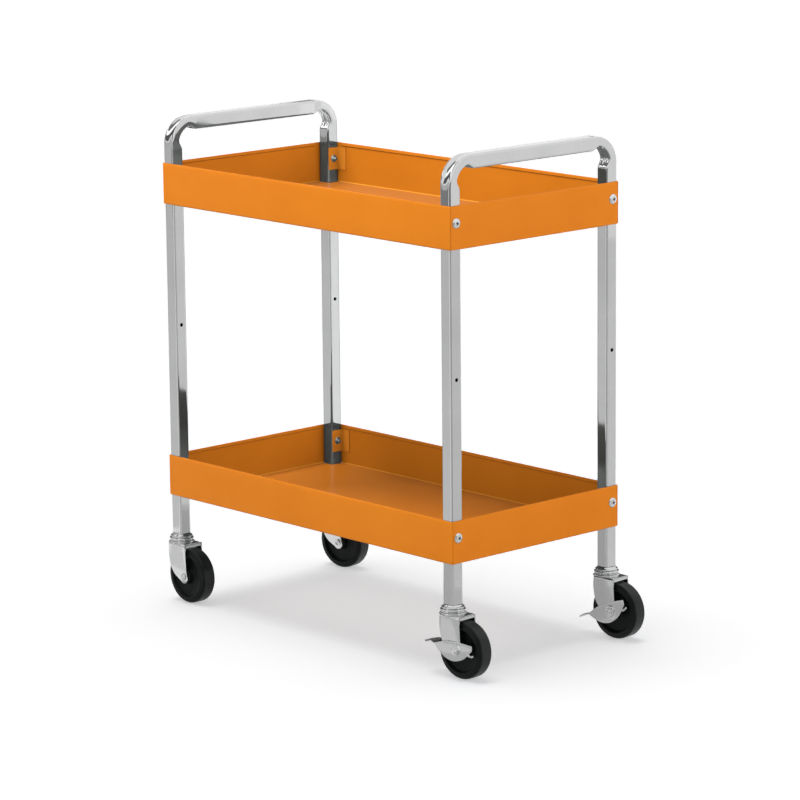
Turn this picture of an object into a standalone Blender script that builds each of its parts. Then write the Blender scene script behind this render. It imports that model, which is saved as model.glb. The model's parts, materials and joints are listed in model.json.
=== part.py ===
"""Utility cart: two sheet-steel trays on two bent square-tube end frames, with four swivel casters.

Units are metres and +Z is up. The long side of the trays runs along X. The casters trail
towards +X, and the two at the +X end carry foot brakes on their -Y side. The footprint is
centred on the origin and the wheels stand on Z = 0.
"""

import math

import bmesh
import bpy
from mathutils import Matrix, Vector

MM = 0.001

# Trays
TRAY_LENGTH = 762.0 * MM
TRAY_WIDTH = 406.4 * MM
TRAY_DEPTH = 76.2 * MM
TRAY_SPACING = 545.2 * MM
TRAY_SHEET = 1.2 * MM
TRAY_BEND_RADIUS = 3.0 * MM
HEM_HEIGHT = 6.5 * MM
HEM_THICKNESS = 1.4 * MM
HEM_END_FROM_CORNER = 57.0 * MM
HEM_TOP_DROP = 0.3 * MM
HEM_OVERLAP = 0.5 * MM

# End frames, bent from square tube
TUBE_SIZE = 25.4 * MM
TUBE_WALL = 1.2 * MM
TUBE_CORNER_RADIUS = 4.0 * MM
HANDLE_RISE = 83.5 * MM
BEND_RADIUS = 38.0 * MM
BEND_PINCH = 8.0 * MM
PINCH_RUN = 22.0 * MM
PINCH_LEAD = 10.0 * MM
LEG_BELOW_TRAY = 71.5 * MM
SHELF_HOLE_RADIUS = 3.5 * MM
SHELF_HOLE_ABOVE_LOWER_RIM = 245.8 * MM

# Corner fastenings
SCREW_BELOW_RIM = 30.0 * MM
SCREW_RADIUS = 3.0 * MM
SCREW_HEAD_RADIUS = 8.8 * MM
SCREW_HEAD_HEIGHT = 3.6 * MM
SCREW_HEAD_LAND_ANGLE = 72.0
SCREW_HEAD_CROWN_ANGLE = 35.0
SCREW_END_PROUD = 2.0 * MM
SCREW_END_CHAMFER = 0.5 * MM
RECESS_LENGTH = 7.0 * MM
RECESS_WIDTH = 1.5 * MM
RECESS_DEPTH = 1.9 * MM
BRACKET_HEIGHT = 41.5 * MM
BRACKET_SHEET = 1.6 * MM
BRACKET_WALL_LEG = 22.0 * MM
BRACKET_BEND_RADIUS = 2.4 * MM
BRACKET_TAB_SETBACK = 1.0 * MM
NUT_WIDTH = 10.0 * MM
NUT_HEIGHT = 5.0 * MM
NUT_FLANGE_RADIUS = 6.8 * MM
NUT_FLANGE_HEIGHT = 1.4 * MM

# Casters
WHEEL_DIAMETER = 101.6 * MM
WHEEL_WIDTH = 31.0 * MM
TREAD_EDGE_RADIUS = 6.0 * MM
RIM_WIDTH = 9.0 * MM
WEB_WIDTH = 17.0 * MM
WEB_SLOPE = 3.0 * MM
HUB_RADIUS = 13.0 * MM
HUB_TAPER = 1.0 * MM
CASTER_TRAIL = 29.0 * MM
FORK_SHEET = 2.5 * MM
FORK_SIDE_PLAY = 3.2 * MM
FORK_FRONT = 12.5 * MM
FORK_BACK = 33.0 * MM
FORK_BACK_SPLAY = 3.5 * MM
FORK_BEND_RADIUS = 4.0 * MM
FORK_EYE_RADIUS = 11.0 * MM
FORK_EYE_DROP = 1.5 * MM
FORK_EYE_START = 222.0
FORK_EYE_END = 352.0
FORK_OVER_WHEEL = 7.4 * MM
FORK_LIP = 4.5 * MM
RACE_RADIUS = 23.0 * MM
RACE_HEIGHT = 2.4 * MM
RACE_SINK = 1.0 * MM
CUP_RADIUS = 22.0 * MM
CUP_TOP_RADIUS = 15.5 * MM
CUP_HEIGHT = 13.2 * MM
CUP_SHEET = 2.0 * MM
CUP_SKIRT_HEIGHT = 4.4 * MM
CUP_NECK_HEIGHT = 6.2 * MM
CUP_CONE_HEIGHT = 8.0 * MM
CUP_STEP = 1.3 * MM
CUP_EDGE = 0.6 * MM
STEM_RADIUS = 5.5 * MM
STEM_IN_LEG = 34.0 * MM
STEM_RIVET_RADIUS = 9.0 * MM
STEM_RIVET_HEIGHT = 2.6 * MM
STEM_CHAMFER = 1.0 * MM
SOCKET_HEIGHT = 40.0 * MM
AXLE_RADIUS = 4.0 * MM
AXLE_CHAMFER = 0.5 * MM
AXLE_HEAD_RADIUS = 6.5 * MM
AXLE_HEAD_HEIGHT = 3.4 * MM
AXLE_HEAD_SHOULDER = 1.3 * MM
AXLE_HEAD_FLAT = 4.5 * MM
AXLE_END_PROUD = 1.5 * MM
AXLE_NUT_WIDTH = 13.0 * MM
AXLE_NUT_HEIGHT = 6.0 * MM

# Foot brakes
LEVER_SHEET = 2.0 * MM
LEVER_FRONT_HEIGHT = 7.0 * MM
LEVER_BACK = 36.0 * MM
LEVER_BACK_HEIGHT = 16.0 * MM
LEVER_DROP = 17.5 * MM
LEVER_RISE = 17.0 * MM
PEDAL_LENGTH = 26.0 * MM
PEDAL_WIDTH = 30.0 * MM
PEDAL_LAP = 1.5 * MM
RELEASE_TAB_REACH = 45.0 * MM
RELEASE_TAB_ROOT = 24.0 * MM
RELEASE_TAB_WIDTH = 8.0 * MM

# Clearances
SEAT_GAP = 0.3 * MM
RUNNING_GAP = 0.4 * MM
FLOOR_HOLE_WALL_GAP = 0.15 * MM
FLOOR_HOLE_CLEARANCE = 1.0 * MM
HUB_SIDE_PLAY = 0.6 * MM
PEDAL_WHEEL_GAP = 3.2 * MM
CUT_MARGIN = 5.0 * MM

# Facets of the round pieces
WHEEL_SIDES = 28
PIN_SIDES = 16
SCREW_SIDES = 12
CUP_SIDES = 24
TUBE_CORNER_STEPS = 2
BORE_CORNER_STEPS = 1
BEND_STEPS = 7
PINCH_STEPS = 3
SHEET_BEND_STEPS = 3
FORK_EYE_STEPS = 7
TREAD_EDGE_STEPS = 2

# Each caster: its name, its corner of the frame, the heading it stands at, and whether it has a brake
# that is let off ("free") or pressed down ("pressed").
CASTERS = (
    ("near_left", -1, -1, 0.0, None),
    ("near_right", 1, -1, 3.0, "free"),
    ("far_right", 1, 1, 4.0, "pressed"),
    ("far_left", -1, 1, 7.0, None),
)
CORNERS = tuple(caster[:3] for caster in CASTERS)
BRAKE_TRAVEL = 20.0

# The fork cheek's front edge, as shares of the way back to the axle and of the height over the axle
FORK_FRONT_SHAPE = ((-0.02, 0.72), (0.02, 0.48), (0.09, 0.3), (0.2, 0.16), (0.4, 0.01))

# The lever plate's edges, as shares of its length from the front and of its drop or rise
LEVER_LOWER_SHAPE = ((0.14, 0.28), (0.26, 0.71), (0.4, 0.97), (0.56, 1.0), (0.76, 0.66), (0.9, 0.1))
LEVER_UPPER_SHAPE = ((0.76, 1.02), (0.48, 0.98), (0.3, 0.9))

# Sizes that follow from the ones above
LEG_X = TRAY_LENGTH / 2 - TRAY_SHEET - SEAT_GAP - TUBE_SIZE / 2
LEG_Y = TRAY_WIDTH / 2 - TRAY_SHEET - SEAT_GAP - TUBE_SIZE / 2
AXLE_HEIGHT = WHEEL_DIAMETER / 2
LEVER_FRONT = WHEEL_DIAMETER / 2 + PEDAL_WHEEL_GAP
FORK_PLATE_BOTTOM = WHEEL_DIAMETER + FORK_OVER_WHEEL
FORK_PLATE_TOP = FORK_PLATE_BOTTOM + FORK_SHEET
RACE_TOP = FORK_PLATE_TOP + RACE_HEIGHT
CUP_BOTTOM = RACE_TOP + RUNNING_GAP
CUP_TOP = CUP_BOTTOM + CUP_HEIGHT
LEG_BOTTOM = CUP_TOP + SEAT_GAP
LOWER_TRAY_BOTTOM = LEG_BOTTOM + LEG_BELOW_TRAY
LOWER_RIM = LOWER_TRAY_BOTTOM + TRAY_DEPTH
UPPER_RIM = LOWER_RIM + TRAY_SPACING
HANDLE_TOP = UPPER_RIM + HANDLE_RISE
FORK_INNER_HALF = WHEEL_WIDTH / 2 + FORK_SIDE_PLAY
FORK_OUTER_HALF = FORK_INNER_HALF + FORK_SHEET
TUBE_BORE = TUBE_SIZE - 2 * TUBE_WALL
BORE_CORNER_RADIUS = TUBE_CORNER_RADIUS - TUBE_WALL
TAB_FACE = TUBE_SIZE / 2 + SEAT_GAP
NUT_SEAT = TAB_FACE + BRACKET_SHEET + SEAT_GAP


def clear_scene():
    """Remove whatever the file holds, so that the cart stands alone."""
    for old in list(bpy.data.objects):
        bpy.data.objects.remove(old, do_unlink=True)


def add_collection(name):
    """Make a collection in the scene."""
    collection = bpy.data.collections.new(name)
    bpy.context.scene.collection.children.link(collection)
    return collection


def add_material(name, colour, roughness, metallic):
    """Make a Principled material."""
    material = bpy.data.materials.new(name)
    material.use_nodes = True
    shader = material.node_tree.nodes["Principled BSDF"]
    shader.inputs["Base Color"].default_value = (*colour, 1.0)
    shader.inputs["Roughness"].default_value = roughness
    shader.inputs["Metallic"].default_value = metallic
    material.diffuse_color = (*colour, 1.0)
    return material


def add_empty(name, parent, location, turn=0.0):
    """Make an empty on a joint's axis, turned about Z."""
    empty = bpy.data.objects.new(name, None)
    CART.objects.link(empty)
    empty.parent = parent
    empty.location = location
    empty.rotation_euler = (0.0, 0.0, turn)
    return empty


def add_piece(name, mesh, material, parent, location=(0.0, 0.0, 0.0), rotation=(0.0, 0.0, 0.0)):
    """Place one piece of the cart."""
    piece = bpy.data.objects.new(name, mesh)
    CART.objects.link(piece)
    piece.parent = parent
    piece.location = location
    piece.rotation_euler = rotation
    if not mesh.materials:
        mesh.materials.append(material)
    return piece


def mesh_from(bm, name):
    """Turn a finished bmesh into a mesh."""
    bmesh.ops.recalc_face_normals(bm, faces=bm.faces)
    mesh = bpy.data.meshes.new(name)
    bm.to_mesh(mesh)
    bm.free()
    return mesh


def evaluated_mesh(guide):
    """The mesh of a guide object with its modifiers applied; the guide goes."""
    bpy.context.view_layer.update()
    graph = bpy.context.evaluated_depsgraph_get()
    mesh = bpy.data.meshes.new_from_object(guide.evaluated_get(graph), depsgraph=graph)
    bm = bmesh.new()
    bm.from_mesh(mesh)
    bmesh.ops.remove_doubles(bm, verts=bm.verts, dist=0.001 * MM)
    bmesh.ops.recalc_face_normals(bm, faces=bm.faces)
    bm.to_mesh(mesh)
    bm.free()
    bpy.data.objects.remove(guide, do_unlink=True)
    return mesh


def guide_object(name, data):
    """A construction object that never shows in the cart."""
    guide = bpy.data.objects.new(name, data)
    CUTTERS.objects.link(guide)
    guide.hide_render = True
    guide.display_type = "WIRE"
    return guide


def combine(mesh, others, operation):
    """Boolean of a mesh with a list of meshes, one after the other."""
    for other in others:
        guide = guide_object("shape", mesh)
        tool = guide_object("tool", other)
        boolean = guide.modifiers.new("boolean", "BOOLEAN")
        boolean.operation = operation
        boolean.solver = "EXACT"
        boolean.object = tool
        mesh = evaluated_mesh(guide)
        bpy.data.objects.remove(tool, do_unlink=True)
    return mesh


def cut(mesh, cutters):
    """Take cutters away from a mesh."""
    return combine(mesh, cutters, "DIFFERENCE")


def join(mesh, others):
    """Weld shapes that overlap into one solid."""
    return combine(mesh, others, "UNION")


def box(low, high, bevel=0.0, segments=2, keep=None):
    """A box between two corners. Bevel rounds its edges, or those that keep chooses."""
    low, high = Vector(low), Vector(high)
    bm = bmesh.new()
    bmesh.ops.create_cube(bm, size=1.0)
    centre = (low + high) / 2
    size = high - low
    for vert in bm.verts:
        vert.co = Vector(vert.co[i] * size[i] + centre[i] for i in range(3))
    if bevel:
        edges = [edge for edge in bm.edges if keep is None or keep(edge)]
        bmesh.ops.bevel(bm, geom=edges, offset=bevel, segments=segments, profile=0.5, affect="EDGES")
    return mesh_from(bm, "box")


def cylinder(radius, length, sides, axis, centre=(0.0, 0.0, 0.0), flats=False):
    """A closed cylinder along X, Y or Z. With flats, the radius is that of its flat sides."""
    bm = bmesh.new()
    if flats:
        radius = radius / math.cos(math.pi / sides)
    bmesh.ops.create_cone(bm, cap_ends=True, segments=sides, radius1=radius, radius2=radius, depth=length)
    turns = {"X": Matrix.Rotation(math.pi / 2, 4, "Y"), "Y": Matrix.Rotation(math.pi / 2, 4, "X"),
             "Z": Matrix.Identity(4)}
    bmesh.ops.transform(bm, matrix=Matrix.Translation(centre) @ turns[axis], verts=bm.verts)
    return mesh_from(bm, "cylinder")


def turned(profile, sides):
    """A turned solid about Z. The profile lists radius and height, down its outer side."""
    bm = bmesh.new()
    verts = [bm.verts.new((radius, 0.0, height)) for radius, height in profile]
    for first, second in zip(verts, verts[1:]):
        bm.edges.new((first, second))
    if profile[0][0] > 0.0:
        bm.edges.new((verts[-1], verts[0]))
    mesh = bpy.data.meshes.new("profile")
    bm.to_mesh(mesh)
    bm.free()
    guide = guide_object("profile", mesh)
    screw = guide.modifiers.new("turn", "SCREW")
    screw.steps = sides
    screw.render_steps = sides
    screw.use_merge_vertices = True
    screw.merge_threshold = 0.01 * MM
    screw.use_smooth_shade = False
    return evaluated_mesh(guide)


def prism(outline, thickness, plane="XZ"):
    """A flat outline of (across, up) points with a thickness centred on its plane."""
    curve = bpy.data.curves.new("outline", "CURVE")
    curve.dimensions = "2D"
    curve.fill_mode = "BOTH"
    curve.extrude = thickness / 2
    spline = curve.splines.new("POLY")
    spline.points.add(len(outline) - 1)
    for point, (across, up) in zip(spline.points, outline):
        point.co = (across, up, 0.0, 1.0)
    spline.use_cyclic_u = True
    mesh = evaluated_mesh(guide_object("outline", curve))
    if plane == "XZ":
        mesh.transform(Matrix.Rotation(math.pi / 2, 4, "X"))
    return mesh


def arc(centre, radius, start, end, steps):
    """Points on an arc, angles in degrees."""
    points = []
    for step in range(steps + 1):
        angle = math.radians(start + (end - start) * step / steps)
        points.append((centre[0] + radius * math.cos(angle), centre[1] + radius * math.sin(angle)))
    return points


def shade(mesh, angle=30.0):
    """Smooth shading between faces that meet at less than the angle."""
    mesh.shade_smooth()
    mesh.set_sharp_from_angle(angle=math.radians(angle))
    return mesh


def tray_mesh():
    """A folded pan with hemmed rims, leg holes and screw holes. Its bottom is at Z = 0."""
    half_x, half_y = TRAY_LENGTH / 2, TRAY_WIDTH / 2

    def below_the_rim(edge):
        return not all(vert.co.z > TRAY_DEPTH - MM for vert in edge.verts)

    outer = box((-half_x, -half_y, 0.0), (half_x, half_y, TRAY_DEPTH), TRAY_BEND_RADIUS,
                SHEET_BEND_STEPS, below_the_rim)
    inner = box((TRAY_SHEET - half_x, TRAY_SHEET - half_y, TRAY_SHEET),
                (half_x - TRAY_SHEET, half_y - TRAY_SHEET, TRAY_DEPTH + CUT_MARGIN),
                TRAY_BEND_RADIUS - TRAY_SHEET, SHEET_BEND_STEPS, below_the_rim)
    pan = cut(outer, [inner])
    hem_top = TRAY_DEPTH - HEM_TOP_DROP
    hem_bottom = TRAY_DEPTH - HEM_HEIGHT
    hem_x = half_x - HEM_END_FROM_CORNER
    hem_y = half_y - HEM_END_FROM_CORNER
    hem_out_x = half_x - TRAY_SHEET + HEM_OVERLAP
    hem_out_y = half_y - TRAY_SHEET + HEM_OVERLAP
    hem_in_x = half_x - TRAY_SHEET - HEM_THICKNESS
    hem_in_y = half_y - TRAY_SHEET - HEM_THICKNESS
    hems = []
    for side in (-1, 1):
        across = sorted((side * hem_in_y, side * hem_out_y))
        along = sorted((side * hem_in_x, side * hem_out_x))
        hems.append(box((-hem_x, across[0], hem_bottom), (hem_x, across[1], hem_top)))
        hems.append(box((along[0], -hem_y, hem_bottom), (along[1], hem_y, hem_top)))
    pan = join(pan, hems)
    cutters = []
    near = TUBE_SIZE / 2 + FLOOR_HOLE_CLEARANCE
    wall = TUBE_SIZE / 2 + FLOOR_HOLE_WALL_GAP
    for side_x in (-1, 1):
        for side_y in (-1, 1):
            span_x = sorted((side_x * (LEG_X - near), side_x * (LEG_X + wall)))
            span_y = sorted((side_y * (LEG_Y - near), side_y * (LEG_Y + wall)))
            cutters.append(box((span_x[0], span_y[0], -CUT_MARGIN),
                               (span_x[1], span_y[1], TRAY_SHEET + TRAY_BEND_RADIUS)))
            cutters.append(cylinder(SCREW_RADIUS + SEAT_GAP, 2 * CUT_MARGIN, SCREW_SIDES, "X",
                                    (side_x * half_x, side_y * LEG_Y, TRAY_DEPTH - SCREW_BELOW_RIM)))
    return shade(cut(pan, cutters))


def tube_section(size, corner, pinch, steps):
    """A rounded square, as (across, outward) points. The pinch lifts its inward side."""
    half = size / 2
    points = []
    for start, sign_across, sign_out in ((0, 1, 1), (90, -1, 1), (180, -1, -1), (270, 1, -1)):
        centre = (sign_across * (half - corner), sign_out * (half - corner))
        for across, outward in arc(centre, corner, start, start + 90, steps):
            lift = pinch * (half - outward) / size
            points.append((across, outward + lift))
    return points


def frame_stations():
    """Stations along an end frame: centre, outward direction and pinch, from one foot to the other."""
    top = HANDLE_TOP - TUBE_SIZE / 2
    bend_length = BEND_RADIUS * math.pi / 2
    marks = [-PINCH_LEAD + PINCH_RUN * step / PINCH_STEPS for step in range(PINCH_STEPS + 1)]
    first, last = marks[-1], bend_length - marks[-1]
    marks += [first + (last - first) * step / BEND_STEPS for step in range(1, BEND_STEPS)]
    marks += [bend_length - mark for mark in reversed(marks[:PINCH_STEPS + 1])]

    def pinch_at(mark):
        depth = min(mark, bend_length - mark) + PINCH_LEAD
        share = max(0.0, min(1.0, depth / PINCH_RUN))
        return BEND_PINCH * share * share * (3.0 - 2.0 * share)

    half = []
    centre_y, centre_z = BEND_RADIUS - LEG_Y, top - BEND_RADIUS
    half.append((Vector((0.0, -LEG_Y, LEG_BOTTOM)), Vector((0.0, -1.0, 0.0)), 0.0))
    for mark in marks:
        turn = max(0.0, min(bend_length, mark)) / BEND_RADIUS
        past = mark - max(0.0, min(bend_length, mark))
        outward = Vector((0.0, -math.cos(turn), math.sin(turn)))
        along = Vector((0.0, math.sin(turn), math.cos(turn)))
        centre = Vector((0.0, centre_y, centre_z)) + outward * BEND_RADIUS + along * past
        half.append((centre, outward, pinch_at(mark)))
    mirrored = []
    for centre, outward, pinch in reversed(half):
        mirrored.append((Vector((0.0, -centre.y, centre.z)), Vector((0.0, -outward.y, outward.z)), pinch))
    return half + mirrored


def bent_bar(size, corner, steps, past_feet):
    """A solid bar of rounded square section along the end frame, running past both feet by a length."""
    bm = bmesh.new()
    rings = []
    for centre, outward, pinch in frame_stations():
        if abs(centre.z - LEG_BOTTOM) < MM:
            centre = centre - Vector((0.0, 0.0, past_feet))
        ring = [bm.verts.new(centre + Vector((across, 0.0, 0.0)) + outward * out)
                for across, out in tube_section(size, corner, pinch, steps)]
        rings.append(ring)
    for ring, following in zip(rings, rings[1:]):
        for i, vert in enumerate(ring):
            j = (i + 1) % len(ring)
            bm.faces.new((vert, ring[j], following[j], following[i]))
    bm.faces.new(rings[0])
    bm.faces.new(rings[-1])
    return mesh_from(bm, "bar")


def end_frame_mesh():
    """One bent square tube: leg, handle and leg, open at both feet, with its screw and shelf holes."""
    skin = bent_bar(TUBE_SIZE, TUBE_CORNER_RADIUS, TUBE_CORNER_STEPS, 0.0)
    holes = [bent_bar(TUBE_BORE, BORE_CORNER_RADIUS, BORE_CORNER_STEPS, CUT_MARGIN)]
    for side in (-1, 1):
        for rim in (LOWER_RIM, UPPER_RIM):
            holes.append(cylinder(SCREW_RADIUS + SEAT_GAP, 2 * TUBE_SIZE, SCREW_SIDES, "X",
                                  (0.0, side * LEG_Y, rim - SCREW_BELOW_RIM)))
        holes.append(cylinder(SHELF_HOLE_RADIUS, 2 * TUBE_SIZE, SCREW_SIDES, "X",
                              (0.0, side * LEG_Y, LOWER_RIM + SHELF_HOLE_ABOVE_LOWER_RIM)))
    return shade(cut(skin, holes))


def bracket_mesh():
    """An angle bracket for the corner at +X +Y: a tab on the leg's inner face, a flange on the long wall.

    The origin is on the leg's axis at the height of the screw. It is the same either way up, so
    the corners of the other hand take it turned over.
    """
    wall = TUBE_SIZE / 2 + SEAT_GAP
    tab_inner = TAB_FACE + BRACKET_SHEET
    start_y = BRACKET_TAB_SETBACK - TUBE_SIZE / 2
    end_x = -TAB_FACE - BRACKET_WALL_LEG
    outline = [(-TAB_FACE, start_y)]
    corner = (-TAB_FACE - BRACKET_BEND_RADIUS, wall - SEAT_GAP - BRACKET_BEND_RADIUS)
    outline += arc(corner, BRACKET_BEND_RADIUS, 0, 90, SHEET_BEND_STEPS)
    outline += [(end_x, wall - SEAT_GAP), (end_x, wall - SEAT_GAP - BRACKET_SHEET)]
    outline += list(reversed(arc(corner, BRACKET_BEND_RADIUS - BRACKET_SHEET, 0, 90, SHEET_BEND_STEPS)))
    outline += [(-tab_inner, start_y)]
    mesh = prism(outline, BRACKET_HEIGHT, plane="XY")
    hole = cylinder(SCREW_RADIUS + SEAT_GAP, 4 * BRACKET_SHEET, SCREW_SIDES, "X", (-tab_inner, 0.0, 0.0))
    return shade(cut(mesh, [hole]))


def screw_mesh():
    """A truss-head screw along Z with its head up and a cross recess. Z = 0 is under the head."""
    through = TRAY_SHEET + SEAT_GAP + TUBE_SIZE / 2 + NUT_SEAT + NUT_HEIGHT + SEAT_GAP
    tip = -(through + SCREW_END_PROUD)
    dome = [(SCREW_HEAD_RADIUS * math.sin(math.radians(angle)),
             SCREW_HEAD_HEIGHT * math.cos(math.radians(angle)))
            for angle in (0.0, SCREW_HEAD_CROWN_ANGLE, SCREW_HEAD_LAND_ANGLE)]
    profile = dome + [(SCREW_HEAD_RADIUS, 0.0), (SCREW_RADIUS, 0.0), (SCREW_RADIUS, tip + SCREW_END_CHAMFER),
                      (SCREW_RADIUS - SCREW_END_CHAMFER, tip), (0.0, tip)]
    mesh = turned(profile, SCREW_SIDES)
    floor = SCREW_HEAD_HEIGHT - RECESS_DEPTH
    high = SCREW_HEAD_HEIGHT + CUT_MARGIN
    half_length, half_width = RECESS_LENGTH / 2, RECESS_WIDTH / 2
    slots = [box((-half_length, -half_width, floor), (half_length, half_width, high)),
             box((-half_width, -half_length, floor), (half_width, half_length, high))]
    return shade(cut(mesh, slots))


def hex_nut_mesh(width, height, bore, flange_radius=0.0, flange_height=0.0):
    """A hexagon nut standing on Z = 0, with a washer face if it has a flange."""
    nut = cylinder(width / 2, height, 6, "Z", (0.0, 0.0, height / 2), flats=True)
    if flange_radius:
        flange = cylinder(flange_radius, flange_height, SCREW_SIDES, "Z", (0.0, 0.0, flange_height / 2))
        body = cylinder(width / 2, height - flange_height / 2, 6, "Z",
                        (0.0, 0.0, height / 2 + flange_height / 4), flats=True)
        nut = join(flange, [body])
    hole = cylinder(bore, 4 * height, SCREW_SIDES, "Z")
    return shade(cut(nut, [hole]))


def wheel_mesh():
    """A solid wheel turned about Z: rounded tread, dished faces and a long hub with a plain bore."""
    radius = WHEEL_DIAMETER / 2 / math.cos(math.pi / WHEEL_SIDES)
    half = WHEEL_WIDTH / 2
    edge = TREAD_EDGE_RADIUS
    bore = AXLE_RADIUS + SEAT_GAP
    hub_half = FORK_INNER_HALF - HUB_SIDE_PLAY
    rim_inner = radius - edge - RIM_WIDTH / 2
    web_half = WEB_WIDTH / 2
    upper = [(bore, hub_half), (HUB_RADIUS, hub_half), (HUB_RADIUS + HUB_TAPER, web_half),
             (rim_inner - WEB_SLOPE, web_half), (rim_inner, half)]
    upper += list(reversed(arc((radius - edge, half - edge), edge, 0, 90, TREAD_EDGE_STEPS)))
    lower = [(across, -height) for across, height in reversed(upper)]
    return shade(turned(upper + lower, WHEEL_SIDES), 40.0)


def fork_mesh():
    """A stamped fork: race boss, flat crown with a back lip, and two tapered cheeks. Z is from the floor."""
    lip_bottom = FORK_PLATE_BOTTOM - FORK_LIP
    eye = (CASTER_TRAIL, AXLE_HEIGHT - FORK_EYE_DROP)
    front = -FORK_FRONT
    height = FORK_PLATE_TOP - AXLE_HEIGHT
    outline = [(front, FORK_PLATE_TOP)]
    outline += [(front + share_in * (CASTER_TRAIL + FORK_FRONT), AXLE_HEIGHT + share_up * height)
                for share_in, share_up in FORK_FRONT_SHAPE]
    outline += arc(eye, FORK_EYE_RADIUS, FORK_EYE_START, FORK_EYE_END, FORK_EYE_STEPS)
    outline += [(FORK_BACK + FORK_BACK_SPLAY, AXLE_HEIGHT + FORK_EYE_RADIUS), (FORK_BACK, lip_bottom),
                (FORK_BACK, FORK_PLATE_TOP)]
    mesh = prism(outline, 2 * FORK_OUTER_HALF)
    bm = bmesh.new()
    bm.from_mesh(mesh)
    crown = []
    for edge in bm.edges:
        high = all(abs(vert.co.z - FORK_PLATE_TOP) < 0.01 * MM for vert in edge.verts)
        along = abs(edge.verts[0].co.y - edge.verts[1].co.y) < 0.01 * MM
        if high and along and abs(abs(edge.verts[0].co.y) - FORK_OUTER_HALF) < 0.01 * MM:
            crown.append(edge)
    bmesh.ops.bevel(bm, geom=crown, offset=FORK_BEND_RADIUS, segments=SHEET_BEND_STEPS, profile=0.5,
                      affect="EDGES")
    mesh = mesh_from(bm, "fork")
    reach = CASTER_TRAIL + FORK_BACK + WHEEL_DIAMETER
    gap = box((-reach, -FORK_INNER_HALF, -CUT_MARGIN), (reach, FORK_INNER_HALF, lip_bottom))
    pocket = box((-reach, -FORK_INNER_HALF, lip_bottom - FORK_LIP),
                 (FORK_BACK - FORK_SHEET, FORK_INNER_HALF, FORK_PLATE_BOTTOM))
    mesh = cut(mesh, [gap, pocket])
    race_low = FORK_PLATE_TOP - RACE_SINK
    race = cylinder(RACE_RADIUS, RACE_TOP - race_low, CUP_SIDES, "Z", (0.0, 0.0, (RACE_TOP + race_low) / 2))
    mesh = join(mesh, [race])
    king = cylinder(STEM_RADIUS + RUNNING_GAP, 8 * CUT_MARGIN, PIN_SIDES, "Z", (0.0, 0.0, FORK_PLATE_TOP))
    axle = cylinder(AXLE_RADIUS + SEAT_GAP, 4 * FORK_OUTER_HALF, PIN_SIDES, "Y",
                    (CASTER_TRAIL, 0.0, AXLE_HEIGHT))
    return shade(cut(mesh, [king, axle]))


def cup_mesh():
    """The upper bearing cup: a stepped dome, hollow below, round the stem. Z is from the floor."""
    bore = STEM_RADIUS + SEAT_GAP
    skirt = CUP_BOTTOM + CUP_SKIRT_HEIGHT
    neck = CUP_BOTTOM + CUP_NECK_HEIGHT
    cone = CUP_BOTTOM + CUP_CONE_HEIGHT
    hollow_top = CUP_TOP - 2 * CUP_SHEET
    profile = [(bore, CUP_TOP), (CUP_TOP_RADIUS, CUP_TOP), (CUP_TOP_RADIUS + CUP_STEP, CUP_TOP - CUP_STEP),
               (CUP_RADIUS - CUP_STEP, cone), (CUP_RADIUS - 2 * CUP_STEP, neck), (CUP_RADIUS, skirt),
               (CUP_RADIUS, CUP_BOTTOM + CUP_EDGE), (CUP_RADIUS - CUP_EDGE, CUP_BOTTOM),
               (CUP_RADIUS - CUP_SHEET, CUP_BOTTOM), (CUP_RADIUS - CUP_SHEET, skirt - CUP_STEP),
               (CUP_TOP_RADIUS, hollow_top), (bore, hollow_top)]
    return shade(turned(profile, CUP_SIDES))


def stem_mesh():
    """The king pin: riveted under the fork, up through the bearing, with its stem in the leg's socket."""
    rivet_top = FORK_PLATE_BOTTOM - RUNNING_GAP
    rivet_low = rivet_top - STEM_RIVET_HEIGHT
    top = LEG_BOTTOM + STEM_IN_LEG
    chamfer = STEM_CHAMFER
    profile = [(0.0, top), (STEM_RADIUS - chamfer, top), (STEM_RADIUS, top - chamfer),
               (STEM_RADIUS, rivet_top), (STEM_RIVET_RADIUS, rivet_top),
               (STEM_RIVET_RADIUS, rivet_low + chamfer), (STEM_RIVET_RADIUS - 2 * chamfer, rivet_low),
               (0.0, rivet_low)]
    return shade(turned(profile, SCREW_SIDES))


def socket_mesh():
    """The square insert inside a leg's foot, bored for the stem. Z is from the floor."""
    half = TUBE_BORE / 2 - SEAT_GAP
    low, high = LEG_BOTTOM, LEG_BOTTOM + SOCKET_HEIGHT

    def upright(edge):
        return abs(edge.verts[0].co.z - edge.verts[1].co.z) > MM

    block = box((-half, -half, low), (half, half, high), BORE_CORNER_RADIUS, BORE_CORNER_STEPS, upright)
    bore = cylinder(STEM_RADIUS + SEAT_GAP, 4 * SOCKET_HEIGHT, SCREW_SIDES, "Z", (0.0, 0.0, low))
    return shade(cut(block, [bore]))


def axle_mesh(stack):
    """A round-head axle bolt along Z with its head down. Z = 0 is under the head, and stack is its grip."""
    tip = stack + AXLE_END_PROUD
    chamfer = AXLE_CHAMFER
    profile = [(0.0, tip), (AXLE_RADIUS - chamfer, tip), (AXLE_RADIUS, tip - chamfer), (AXLE_RADIUS, 0.0),
               (AXLE_HEAD_RADIUS, 0.0), (AXLE_HEAD_RADIUS, -AXLE_HEAD_SHOULDER),
               (AXLE_HEAD_FLAT, -AXLE_HEAD_HEIGHT), (0.0, -AXLE_HEAD_HEIGHT)]
    return shade(turned(profile, SCREW_SIDES))


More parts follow.
